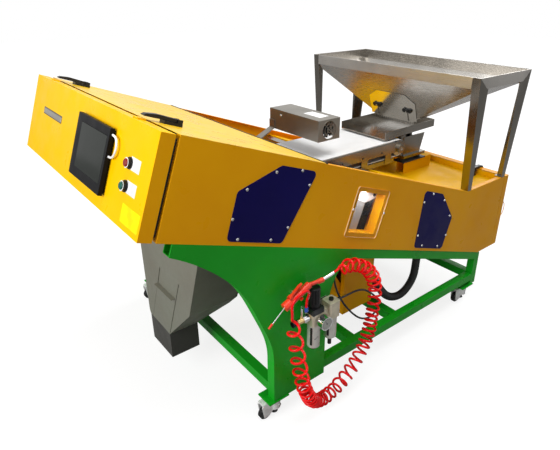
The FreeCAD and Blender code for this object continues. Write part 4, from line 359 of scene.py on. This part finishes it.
def air_unit_finish(middle, normal):
    """Cast blocks, guarded bowls, black plastic and the plated connectors."""
    x, y, z = middle
    if x < inlet_right_x and z > riser_low_z:
        return "blue" if z > mouth_low_z and y < mouth_far_y else "chrome"
    if x < valve_end_right_x:
        return "black"
    if x < inlet_right_x:
        off_axis = math.hypot(y - air_y, z - port_z)
        return "chrome" if off_axis > valve_barrel_radius and x > nut_left_x else "brass"
    if y < gauge_back_y and abs(x - gauge_x) < gauge_reach and abs(z - gauge_z) < gauge_reach:
        return "chrome"
    filler = z > filler_low_z and x > filler_left_x
    bonnet = z > bonnet_low_z and x < bonnet_right_x
    if x > outlet_left_x or filler or bonnet or z < drain_high_z:
        return "black"
    if z < bowl_high_z:
        return "bowl"
    return "zinc" if y > bracket_near_y else "cast"


nozzle_tip_right_x, nozzle_tip_high_z = 345.4, 496.4
nozzle_right_x, nozzle_high_z = 393.4, 536.0
nozzle_far_y, nozzle_near_y = -43.4, -48.6
coupler_left_x = 563.0
gun_hook_near_y = -30.0


def blow_gun_finish(middle, normal):
    """Red body, bright nozzle tube with a red tip, plated hose coupler and the hook behind."""
    x, y, z = middle
    if x < nozzle_tip_right_x and z < nozzle_tip_high_z:
        return "gun"
    if x < nozzle_right_x and nozzle_near_y < y < nozzle_far_y and z < nozzle_high_z:
        return "chrome"
    if x > coupler_left_x:
        return "chrome"
    return "zinc" if y > gun_hook_near_y else "gun"


door_low_y, door_high_y = ((corner.y - zero.y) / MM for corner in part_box("front_door"))


def front_door_finish(middle, normal):
    """The end faces take the side yellow, with the same painted shade as the housing's sides."""
    at_end = not door_low_y + 1 < middle.y < door_high_y - 1
    return "side" if at_end and abs(normal.y) > 0.9 else "door"


def off_axle(middle, hub):
    """How far a point is from the axle through a wheel's hub."""
    return math.hypot(middle.x - hub.x, middle.z - hub.z)


feeder_mount_high_z = 708.9
hopper_band_low_z = 1110.0
chute_neck_z = 243.9
bezel_collar_out = 9.5
wheel_core_radius = 18.5
gate_normal = max(nodes["gate_plate"].data.polygons, key=lambda polygon: polygon.area).normal.copy()

dress_faces("air_unit", ["cast", "bowl", "black", "chrome", "brass", "blue", "zinc"], air_unit_finish)
dress_faces("blow_gun", ["gun", "chrome", "zinc"], blow_gun_finish)
dress_faces("front_door", ["door", "side"], front_door_finish)
# The pane's thin edge faces take the pale orange painted highlight.
dress_faces("window_pane", ["clear", "pane_edge_painted_highlight"],
            lambda middle, normal: "pane_edge_painted_highlight" if abs(normal.y) < 0.5 else "clear")
# The vibrator's upper part takes the same darker stainless, with its painted shade.
dress_faces("vibrator", ["steel_z_painted_shade", "rubber"],
            lambda middle, normal: "rubber" if middle.z < feeder_mount_high_z else "steel_z_painted_shade")
# Below the band the legs take the darker stainless, whose colour is painted shade.
dress_faces("hopper_frame", ["steel_y", "steel_z_painted_shade"],
            lambda middle, normal: "steel_z_painted_shade" if middle.z < hopper_band_low_z else "steel_y")
dress_faces("button_bezels", ["ivory", "black"],
            lambda middle, normal: "ivory" if off_door(middle) > bezel_collar_out else "black")
dress_faces("accept_chute", ["grey", "spout"],
            lambda middle, normal: "spout" if middle.z < chute_neck_z else "grey")
dress_faces("gate_plate", ["bright", "rubber"],
            lambda middle, normal: "bright" if abs(normal.dot(gate_normal)) > 0.5 else "rubber")
for corner in corners:
    wheel_low, wheel_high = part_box("caster_wheel_" + corner)
    hub = ((wheel_low + wheel_high) / 2 - zero) / MM
    dress_faces("caster_wheel_" + corner, ["tread", "core"],
                lambda middle, normal: "core" if off_axle(middle, hub) < wheel_core_radius else "tread")


# Small rounds on folded and moulded edges, so that they catch the light: node and width

edge_widths = {
    "front_door": 1.2, "side_panels": 1.0, "top_cover": 0.8, "rear_deck": 0.8, "rear_door": 1.0,
    "stand_legs": 1.0, "stand_base_frame": 2.0, "stand_top_frame": 2.0, "hopper_frame": 1.0,
    "ioniser_box": 0.6, "touch_panel": 1.5, "accept_chute": 0.8, "reject_bin": 0.8,
}
for node_name, width in edge_widths.items():
    weld = nodes[node_name].modifiers.new("weld", "WELD")
    weld.merge_threshold = 0.02 * MM
    rounds = nodes[node_name].modifiers.new("rounds", "BEVEL")
    rounds.width = width * MM
    rounds.segments = 2
    rounds.limit_method = "ANGLE"
    rounds.angle_limit = math.radians(38.0)
    rounds.harden_normals = True
    rounds.use_clamp_overlap = True


# Mesh helpers

def mesh_piece(name, bm, body, choice, sharp=32.0):
    """Makes a piece of a finished mesh, which rides on a body. Edges over sharp degrees stay hard."""
    mesh = bpy.data.meshes.new(name)
    bmesh.ops.recalc_face_normals(bm, faces=bm.faces)
    bm.to_mesh(mesh)
    bm.free()
    for polygon in mesh.polygons:
        polygon.use_smooth = True
    mesh.set_sharp_from_angle(angle=math.radians(sharp))
    mesh.materials.append(look[choice])
    piece = bpy.data.objects.new(name, mesh)
    bpy.context.scene.collection.objects.link(piece)
    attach(piece, body)
    return piece


def axes_from(normal):
    """Two directions square to normal and to each other."""
    normal = normal.normalized()
    side = z_axis.cross(normal)
    if side.length < 0.1:
        side = x_axis.cross(normal)
    side.normalize()
    return side, normal.cross(side)


def circle(bm, centre, side, up, radius, steps, turn=0.0):
    """A ring of points round a centre, in the plane of side and up."""
    ring = []
    for i in range(steps):
        angle = 2 * math.pi * i / steps + turn
        ring.append(bm.verts.new(centre + (side * math.cos(angle) + up * math.sin(angle)) * radius * MM))
    return ring


def bridge(bm, low, high):
    """Faces between two closed rings with as many points."""
    count = len(low)
    for i in range(count):
        j = (i + 1) % count
        bm.faces.new((low[i], low[j], high[j], high[i]))


def turned(bm, centre, normal, outline, steps):
    """A turned form: outline is radius and height pairs, and ends on the axis, at radius 0."""
    side, up = axes_from(normal)
    normal = normal.normalized()
    rings = [circle(bm, centre + normal * height * MM, side, up, radius, steps)
             for radius, height in outline[:-1]]
    for low, high in zip(rings, rings[1:]):
        bridge(bm, low, high)
    tip = bm.verts.new(centre + normal * outline[-1][1] * MM)
    for i in range(steps):
        bm.faces.new((rings[-1][i], rings[-1][(i + 1) % steps], tip))


def screw(bm, centre, normal, radius, turn):
    """Pan-head screw with a cross recess."""
    side, up = axes_from(normal)
    normal = normal.normalized()
    steps = 24
    height, arm, slot_half = radius * 0.55, radius * 0.55, radius * 0.13
    recess, taper = height * 0.6, 0.8
    cross = []
    for quarter in range(4):
        angle = quarter * math.pi / 2 + turn
        out = side * math.cos(angle) + up * math.sin(angle)
        left = side * -math.sin(angle) + up * math.cos(angle)
        cross += [out * slot_half - left * slot_half,
                  out * arm - left * slot_half,
                  out * arm + left * slot_half]
    count = len(cross)
    top = centre + normal * height * MM
    mouth = [bm.verts.new(top + point * MM) for point in cross]
    floor = [bm.verts.new(top + (point * taper - normal * recess) * MM) for point in cross]
    bridge(bm, mouth, floor)
    bm.faces.new(floor)
    dome = ((0.72, 0.92), (0.9, 0.72), (1.0, 0.35), (1.0, 0.0))
    rings = [circle(bm, centre + normal * height * level * MM, side, up, radius * share, steps, turn)
             for share, level in dome]
    rim_edges = [bm.edges.new((rings[0][i], rings[0][(i + 1) % steps])) for i in range(steps)]
    mouth_edges = [bm.edges.get((mouth[i], mouth[(i + 1) % count])) for i in range(count)]
    bmesh.ops.triangle_fill(bm, use_beauty=True, use_dissolve=False, edges=rim_edges + mouth_edges)
    for low, high in zip(rings, rings[1:]):
        bridge(bm, low, high)


def screws(name, centres, normal, radius, choice):
    """Screws in one piece, each turned a different way."""
    bm = bmesh.new()
    for index, centre in enumerate(centres):
        screw(bm, centre, normal, radius, 0.4 + index * 0.77)
    mesh_piece(name, bm, "machine", choice)


def rounded_corners(width, height, radius):
    """Outline of a rectangle with round corners, about its middle."""
    steps = 6
    points = []
    for right, top, start in ((1, 1, 0), (-1, 1, 90), (-1, -1, 180), (1, -1, 270)):
        for i in range(steps + 1):
            angle = math.radians(start + 90.0 * i / steps)
            points.append((right * (width / 2 - radius) + radius * math.cos(angle),
                           top * (height / 2 - radius) + radius * math.sin(angle)))
    return points


def plate(bm, centre, right, up, width, height, thickness, radius=1.5, rim=0.3):
    """A thin plate with round corners and a softened front edge."""
    normal = right.cross(up).normalized()
    rings = []
    for shrink, level in ((0.0, 0.0), (0.0, thickness - rim), (rim, thickness)):
        outline = rounded_corners(width - 2 * shrink, height - 2 * shrink, max(radius - shrink, 0.1))
        rings.append([bm.verts.new(centre + (right * a + up * b + normal * level) * MM) for a, b in outline])
    for low, high in zip(rings, rings[1:]):
        bridge(bm, low, high)
    bm.faces.new(rings[0])
    bm.faces.new(rings[-1])


# Cords

def curve_of(name, points, radius, resolution=8, roundness=5):
    curve = bpy.data.curves.new(name, "CURVE")
    curve.dimensions = "3D"
    spline = curve.splines.new("NURBS")
    spline.points.add(len(points) - 1)
    for target, point in zip(spline.points, points):
        target.co = (*point, 1.0)
    spline.order_u = 3
    spline.use_endpoint_u = True
    spline.resolution_u = resolution
    curve.bevel_depth = radius * MM
    curve.bevel_resolution = roundness
    curve.use_fill_caps = True
    piece = bpy.data.objects.new(name, curve)
    bpy.context.scene.collection.objects.link(piece)
    return piece


def line_of(points):
    """Points along the smooth line that the control points make."""
    guide = curve_of("guide", points, 0.0)
    bpy.context.view_layer.update()
    mesh = bpy.data.meshes.new_from_object(guide)
    found = [vertex.co.copy() for vertex in mesh.vertices]
    bpy.data.meshes.remove(mesh)
    bpy.data.objects.remove(guide)
    return found


def length_of(points):
    return sum((b - a).length for a, b in zip(points, points[1:]))


class Path:
    """Walks along a line by its length in metres, with a frame that doesn't twist."""

    def __init__(self, points):
        self.points = points
        self.reach = [0.0]
        for a, b in zip(points, points[1:]):
            self.reach.append(self.reach[-1] + (b - a).length)
        self.length = self.reach[-1]
        self.sides = []
        side = axes_from(points[1] - points[0])[0]
        for i in range(len(points)):
            before, after = points[max(i - 1, 0)], points[min(i + 1, len(points) - 1)]
            way = (after - before).normalized()
            side = (side - way * side.dot(way)).normalized()
            self.sides.append((way, side.copy()))

    def at(self, distance):
        """The point at a distance, its direction, and two directions square to that."""
        distance = min(max(distance, 0.0), self.length)
        i = 0
        while i < len(self.reach) - 2 and self.reach[i + 1] < distance:
            i += 1
        span = self.reach[i + 1] - self.reach[i]
        share = (distance - self.reach[i]) / span if span else 0.0
        point = self.points[i].lerp(self.points[i + 1], share)
        way = self.sides[i][0].lerp(self.sides[i + 1][0], share).normalized()
        side = self.sides[i][1].lerp(self.sides[i + 1][1], share)
        side = (side - way * side.dot(way)).normalized()
        return point, way, side, way.cross(side)


def cord_piece(name, points, diameter, choice, node, body="machine", resolution=8,
               roundness=5):
    """A round cord along its control points, in place of the CAD's plain one."""
    piece = curve_of(name, points, diameter / 2, resolution, roundness)
    piece.data.materials.append(look[choice])
    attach(piece, body)
    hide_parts(node)
    length_of(line_of(points))


air_hose_route = ((659, -42, 456), (700, -42, 456), (760, -26, 440), (824, -8, 410), (880, 0, 366),
                  (928, 4, 316), (946, 8, 264), (912, 14, 222), (856, 22, 232), (806, 36, 282),
                  (762, 52, 350), (732, 64, 430), (724, 70, 520), (724, 70, 604))
suction_route = ((1338, 120, 386), (1338, 120, 290), (1332, 121, 195), (1258, 124, 130),
                 (1165, 130, 150), (1098, 137, 226), (1047, 143, 312))
coil_route = ((613, -46, 586), (689, -46, 598), (788, -60, 545), (836, -60, 440), (826, -60, 330),
              (812, -60, 225), (756, -62, 132), (655, -68, 60), (516, -78, 50), (452, -86, 168),
              (424, -92, 290), (404, -94, 410), (388, -94, 540))
coil_tail_route = ((384, -94, 572.5), (408, -96, 602), (446, -94, 606), (472, -84, 580),
                   (472, -66, 540), (472, -66, 512))

# The lead's loop beside the touch panel, across and up the door from where it leaves the panel's side
lead_side_y = 251.5
lead_high_h = 226.0
lead_loop = ((0, 0), (-20, 0), (-35, -13), (-40, -32), (-34, -51), (-19, -63), (0, -63))


def air_hose():
    cord_piece("air_hose_line", [at(*place) for place in air_hose_route], 8.0, "rubber",
               "air_hose")


def panel_lead():
    points = [on_door(lead_side_y + across, lead_high_h + up, panel_depth / 2) for across, up in lead_loop]
    cord_piece("panel_lead_line", points, 7.0, "white", "panel_lead",
               "control_door")


def suction_hose():
    """Corrugated hose: a tube whose radius rises and falls along its line."""
    outer, rib, pitch = 19.0, 1.7, 6.5
    steps, rings_per_rib = 28, 6
    flat_crest = 0.7
    points = line_of([at(*place) for place in suction_route])
    path = Path(points)
    count = int(path.length / MM / pitch * rings_per_rib)
    bm = bmesh.new()
    rings = []
    for i in range(count + 1):
        distance = path.length * i / count
        point, way, side, up = path.at(distance)
        wave = 0.5 + 0.5 * math.cos(2 * math.pi * distance / MM / pitch)
        rings.append(circle(bm, point, side, up, outer - rib * (1 - wave ** flat_crest), steps))
    for low, high in zip(rings, rings[1:]):
        bridge(bm, low, high)
    bm.faces.new(rings[0])
    bm.faces.new(rings[-1])
    piece = mesh_piece("suction_hose_line", bm, "machine", "rubber", sharp=60.0)
    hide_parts("suction_hose")


# Shares of the coil's line, and how closely its turns lie there: closest at the bottom of the sag
coil_crowding = ((0.0, 1.1), (0.10, 1.2), (0.20, 1.1), (0.24, 0.95), (0.30, 1.6), (0.38, 1.35), (0.44, 1.0),
                 (0.54, 1.0), (0.58, 1.3), (0.63, 2.0), (0.69, 2.0), (0.73, 1.1), (0.80, 0.62), (1.0, 0.5))


def turn_density(share):
    for (start, low), (end, high) in zip(coil_crowding, coil_crowding[1:]):
        if share <= end:
            return low + (high - low) * (share - start) / (end - start)
    return coil_crowding[-1][1]


def coil_shares(count):
    """The shares of the line at which count even steps of winding end."""
    samples = 1200
    wound = [0.0]
    for i in range(samples):
        wound.append(wound[-1] + turn_density((i + 0.5) / samples))
    shares = []
    step = 0
    for i in range(count + 1):
        target = wound[-1] * i / count
        while step < samples and wound[step] < target:
            step += 1
        shares.append(step / samples)
    return shares


def coil_hose():
    """Curly air hose: an uneven helix along its sagging line, then a plain end to the push-in fitting."""
    hose, wide = 9.2, 26.4
    turns, steps_per_turn = 42, 12
    straight_end = 0.022
    run_in_turns = 0.6
    slant, sway = 6.0, 5.0
    path = Path(line_of([at(*place) for place in coil_route]))
    rng = random.Random(4)
    sizes = [rng.uniform(-1.0, 1.0) for _ in range(turns + 2)]
    leans = [rng.uniform(-1.0, 1.0) for _ in range(turns + 2)]
    points = [path.at(0.0)[0], path.at(path.length * straight_end * 0.45)[0]]
    for i, share in enumerate(coil_shares(turns * steps_per_turn)):
        turn = i / steps_per_turn
        whole = int(turn)
        size = sizes[whole] + (sizes[whole + 1] - sizes[whole]) * (turn - whole)
        lean = leans[whole] + (leans[whole + 1] - leans[whole]) * (turn - whole)
        growth = min(1.0, turn / run_in_turns, (turns - turn) / run_in_turns)
        radius = wide * (0.2 + 0.8 * growth) * (0.93 + 0.06 * size)
        angle = 2 * math.pi * turn
        along = (math.sin(angle + 0.6) * slant + math.cos(angle) * sway * lean) * growth
        point, way, side, up = path.at(path.length * (straight_end + (1 - 2 * straight_end) * share))
        offset = side * math.cos(angle) * radius + up * math.sin(angle) * radius + way * along
        points.append(point + offset * MM)
    points.append(path.at(path.length)[0])
    points += [at(*place) for place in coil_tail_route]
    cord_piece("coil_hose_line", points, hose, "hose", "coil_hose",
               resolution=3, roundness=3)


air_hose()
panel_lead()
suction_hose()
coil_hose()


# Screws on the covers and the window, listed by x and z

front_cover_screws = ((400, 996), (502, 978), (532, 922), (443, 798), (374, 776), (251, 818), (237, 888),
                      (292, 967))
rear_cover_screws = ((1224, 713), (1311, 661), (1166, 690), (1368, 571), (1150, 541), (1361, 477),
                     (1188, 481), (1306, 438))
window_screws = ((741, 778), (909, 716))
cover_thickness = 1.5
pane_thickness = 4.0

cover_screws = front_cover_screws + rear_cover_screws
screws("cover_screws_near", [at(x, -cover_thickness, z) for x, z in cover_screws], near_face, 5.0, "zinc")
screws("cover_screws_far", [at(x, body_width + cover_thickness, z) for x, z in cover_screws], far_face, 5.0,
       "zinc")
screws("window_screws", [at(x, -pane_thickness, z) for x, z in window_screws], near_face, 5.2, "chrome")


# Bare plates and labels

def door_plate(name, y, h, size, choice, out=0.0, radius=1.5):
    """A thin plate on the control door, about a middle across and up the door."""
    bm = bmesh.new()
    plate(bm, on_door(y, h, out), near_face, up_slope, *size, radius)
    mesh_piece(name, bm, "control_door", choice)


def blower_details():
    """The bare label on top of the blower box, and the screw on its side."""
    bm = bmesh.new()
    plate(bm, at(965.0, 455.0, 1000.0), far_face, -x_axis, 105.0, 52.0, 0.4, radius=1.0)
    mesh_piece("blower_label", bm, "machine", "label")
    screws("blower_screw", [at(895.0, 610.0, 978.0)], -x_axis, 5.0, "chrome")


door_plate("door_nameplate", 838.5, 176.0, (215.0, 26.0, 1.2), "dark")
door_plate("door_nameplate_face", 838.5, 176.0, (207.0, 19.0, 0.8), "steel_x", out=0.9)
door_plate("stop_label", 97.5, 180.0, (59.0, 36.0, 0.5), "label", radius=1.0)
door_plate("start_label", 94.5, 115.5, (61.0, 35.0, 0.5), "label", radius=1.0)
door_plate("door_sticker", 67.5, 43.0, (113.0, 52.0, 0.4), "sticker")
door_plate("screen", 370.0, 148.0, (210.0, 142.0, 0.6), "screen", out=panel_depth - 0.4,
           radius=1.0)
blower_details()


# Pressure gauge and the sight windows in the bowl guards

dial_y = -96.5


def gauge_face():
    """Pale dial with its ticks and needle, behind a clear lens."""
    centre = at(gauge_x, dial_y, gauge_z)
    bm = bmesh.new()
    turned(bm, centre, near_face, [(22.8, -0.4), (22.8, 0.15), (0, 0.15)], 40)
    mesh_piece("gauge_dial", bm, "machine", "dial")

    ticks, ticks_per_long = 31, 5
    first_angle, sweep = 225.0, 270.0
    tick_radius = 20.4
    needle_angle, needle_middle = math.radians(118.0), 6.0
    bm = bmesh.new()
    for i in range(ticks):
        angle = math.radians(first_angle - sweep * i / (ticks - 1))
        out = x_axis * math.cos(angle) + z_axis * math.sin(angle)
        length, width = (4.2, 0.7) if i % ticks_per_long == 0 else (2.2, 0.35)
        middle = at(gauge_x, dial_y - 0.1, gauge_z) + out * (tick_radius - length / 2) * MM
        plate(bm, middle, out, near_face.cross(out), length, width, 0.25, radius=0.15, rim=0.05)
    out = x_axis * math.cos(needle_angle) + z_axis * math.sin(needle_angle)
    middle = at(gauge_x, dial_y - 0.3, gauge_z) + out * needle_middle * MM
    plate(bm, middle, out, near_face.cross(out), 21.0, 1.1, 0.3, radius=0.5, rim=0.1)
    turned(bm, centre, near_face, [(2.6, 0.1), (2.6, 0.9), (1.8, 1.2), (0, 1.2)], 16)
    mesh_piece("gauge_marks", bm, "machine", "black")

    lens_outline = [(22.9, 1.25), (22.9, 1.5), (18.0, 2.1), (10.0, 2.5), (0, 2.6)]
    bm = bmesh.new()
    turned(bm, centre, near_face, lens_outline, 40)
    mesh_piece("gauge_lens", bm, "machine", "lens")


def bowl_sights():
    """Dark upright slots in the bowl guards, on two sides of each."""
    guard_radius = 22.6
    bm = bmesh.new()
    for x, low_z, high_z in ((regulator_x, 322.0, 400.0), (lubricator_x, 325.0, 396.0)):
        for angle in (math.radians(207.0), math.radians(27.0)):
            out = Vector((math.cos(angle), math.sin(angle), 0.0))
            middle = at(x, air_y, (low_z + high_z) / 2) + out * guard_radius * MM
            plate(bm, middle, z_axis.cross(out), z_axis, 9.0, high_z - low_z, 1.3, radius=4.0, rim=0.4)
    mesh_piece("bowl_sights", bm, "machine", "screen")


gauge_face()
bowl_sights()


# Behind the inspection window: a deeper surround, closed by two boards and the dark optics

window_s, window_h = (746.0, 896.0), (64.5, 219.5)
collar_end, well_end = 26.0, 41.0
dark_board_y = well_end + 9.0


def in_window(s, h, y):
    x, z = incline(s, h)
    return at(x, y, z)


def board(name, outline, y, thickness, choice):
    """A flat sheet behind the window, from s and h pairs."""
    bm = bmesh.new()
    front = [bm.verts.new(in_window(s, h, y)) for s, h in outline]
    back = [bm.verts.new(in_window(s, h, y + thickness)) for s, h in outline]
    bm.faces.new(front)
    bm.faces.new(back)
    bridge(bm, front, back)
    mesh_piece(name, bm, "machine", choice)


def window_well():
    """The surround's deeper part, as a thin open frame."""
    wall = 2.0
    (s0, s1), (h0, h1) = window_s, window_h
    bm = bmesh.new()
    rings = []
    for grow, y in ((0.0, collar_end), (0.0, well_end), (wall, well_end), (wall, collar_end)):
        frame_corners = ((s0 - grow, h0 - grow), (s1 + grow, h0 - grow), (s1 + grow, h1 + grow),
                         (s0 - grow, h1 + grow))
        rings.append([bm.verts.new(in_window(s, h, y)) for s, h in frame_corners])
    for low, high in zip(rings, rings[1:] + rings[:1]):
        bridge(bm, low, high)
    # Its walls take the side yellow, with its painted shade.
    mesh_piece("window_well", bm, "machine", "side")


def window_boards():
    white = ((744, 222), (898, 222), (898, 197), (844, 171), (744, 188))
    grey = ((744, 188), (844, 171), (839, 62), (744, 62))
    dark = ((744, 222), (898, 222), (898, 62), (744, 62))
    board("window_board_white", white, well_end, 2.0, "board")
    board("window_board_grey", grey, well_end + 0.5, 1.5, "board_grey")
    board("window_board_dark", dark, dark_board_y, 1.5, "board_black")


def window_optics():
    """Two camera lenses on the dark board, and the catch in the corner of the white one."""
    bm = bmesh.new()
    for s, h, radius in ((877, 160, 11.5), (874, 128, 9.5)):
        lens_outline = [(radius, 0), (radius, 5), (radius - 2, 5.8), (radius - 2.6, 3.5), (radius - 6, 4.6),
                        (0, 5.0)]
        turned(bm, in_window(s, h, dark_board_y), near_face, lens_outline, 28)
    mesh_piece("window_optics", bm, "machine", "optic")

    catch_outline = [(7.5, 0), (7.5, 2.2), (5.6, 2.8), (4.6, 1.2), (0, 1.2)]
    stud_outline = [(4.0, 0), (4.0, 2.5), (2.8, 3.2), (0, 3.2)]
    bm = bmesh.new()
    turned(bm, in_window(881, 207, well_end), near_face, catch_outline, 24)
    turned(bm, in_window(892, 215, well_end), near_face, stud_outline, 20)
    mesh_piece("window_catch", bm, "machine", "black")


window_well()
window_boards()
window_optics()


# Stage, lights and camera, in metres except for the points that at and in_window give

def background_rays(tree, mirror_share):
    """1 for the camera's and glass's rays, which show the background, and a share for mirrors' rays."""
    path = add_node(tree, "ShaderNodeLightPath")
    total = path.outputs["Is Camera Ray"]
    for name, share in (("Is Glossy Ray", mirror_share), ("Is Transmission Ray", 1.0)):
        plus = add_node(tree, "ShaderNodeMath", operation="MULTIPLY_ADD", use_clamp=True)
        plus.inputs[1].default_value = share
        tree.links.new(path.outputs[name], plus.inputs[0])
        tree.links.new(total, plus.inputs[2])
        total = plus.outputs["Value"]
    return total


def floor_material():
    """White floor that keeps the shadow, and is whiter far out, where the lamps don't reach."""
    near_glow, far_glow = 0.82, 0.97
    glow_start, glow_end = 1.5, 5.0
    material, tree, shader = new_material("floor_pale")
    shader.inputs["Base Color"].default_value = (0.25, 0.25, 0.25, 1.0)
    shader.inputs["Roughness"].default_value = 0.9
    shader.inputs["Emission Color"].default_value = (1.0, 1.0, 1.0, 1.0)
    reach = add_node(tree, "ShaderNodeVectorMath", operation="LENGTH")
    tree.links.new(place_coordinates(tree), reach.inputs[0])
    glow = add_node(tree, "ShaderNodeMath", operation="MULTIPLY")
    tree.links.new(background_rays(tree, mirror_share=0.15), glow.inputs[0])
    tree.links.new(ramp(tree, reach.outputs["Value"], near_glow, far_glow, glow_start, glow_end),
                   glow.inputs[1])
    tree.links.new(glow.outputs["Value"], shader.inputs["Emission Strength"])
    return material


def lay_floor():
    bpy.ops.mesh.primitive_plane_add(size=30.0, location=(0.0, 0.0, 0.0))
    floor = bpy.context.object
    floor.name = "floor"
    floor.data.materials.append(floor_material())


def world_light():
    """White behind the object, and a soft grey fill on it."""
    fill, backdrop = 0.16, 1.0
    world = bpy.data.worlds.new("studio")
    bpy.context.scene.world = world
    world.use_nodes = True
    tree = world.node_tree
    background = tree.nodes["Background"]
    background.inputs["Color"].default_value = (1.0, 1.0, 1.0, 1.0)
    strength = ramp(tree, background_rays(tree, mirror_share=0.9), fill, backdrop, 0.0, 1.0)
    tree.links.new(strength, background.inputs["Strength"])


def lamp(name, place, target, size, power):
    """A white rectangular lamp that faces its target."""
    light = bpy.data.lights.new(name, "AREA")
    light.shape = "RECTANGLE"
    light.size, light.size_y = size
    light.energy = power
    piece = bpy.data.objects.new(name, light)
    piece.location = place
    piece.rotation_mode = "QUATERNION"
    piece.rotation_quaternion = (Vector(target) - Vector(place)).to_track_quat("-Z", "Y")
    bpy.context.scene.collection.objects.link(piece)


def set_camera():
    """The photograph's camera, from its place in the drawing and the three directions of its frame."""
    place = at(-447.1, -1106.0, 1500.4)
    forward = Vector((0.5674, 0.7077, -0.4214))
    right = Vector((0.7802, -0.6255, 0.0))
    up = Vector((0.2636, 0.3288, 0.9070))
    data = bpy.data.cameras.new("camera")
    data.sensor_width = 36.0
    data.lens = 31.75
    data.shift_x = -0.0121
    data.shift_y = -0.01725
    camera = bpy.data.objects.new("camera", data)
    bpy.context.scene.collection.objects.link(camera)
    camera.matrix_world = Matrix.Translation(place) @ Matrix((right, up, -forward)).transposed().to_4x4()
    bpy.context.scene.camera = camera


lay_floor()
world_light()
lamp("window_lamp", in_window(821, 214, 30), in_window(821, 64, 34), (0.13, 0.012), 0.22)
lamp("key_left", (-3.6, -0.6, 2.2), (0.0, 0.0, 0.8), (2.4, 2.4), 118.0)
lamp("top_soft", (0.3, -0.5, 3.6), (0.0, 0.1, 0.6), (3.0, 2.4), 100.0)
lamp("back_right", (3.3, 0.7, 2.7), (0.5, 0.1, 0.7), (2.0, 1.6), 60.0)
lamp("side_fill", (0.8, -4.2, 1.6), (0.1, 0.0, 0.6), (2.4, 1.6), 7.0)
set_camera()
bpy.context.scene.view_settings.view_transform = "Standard"
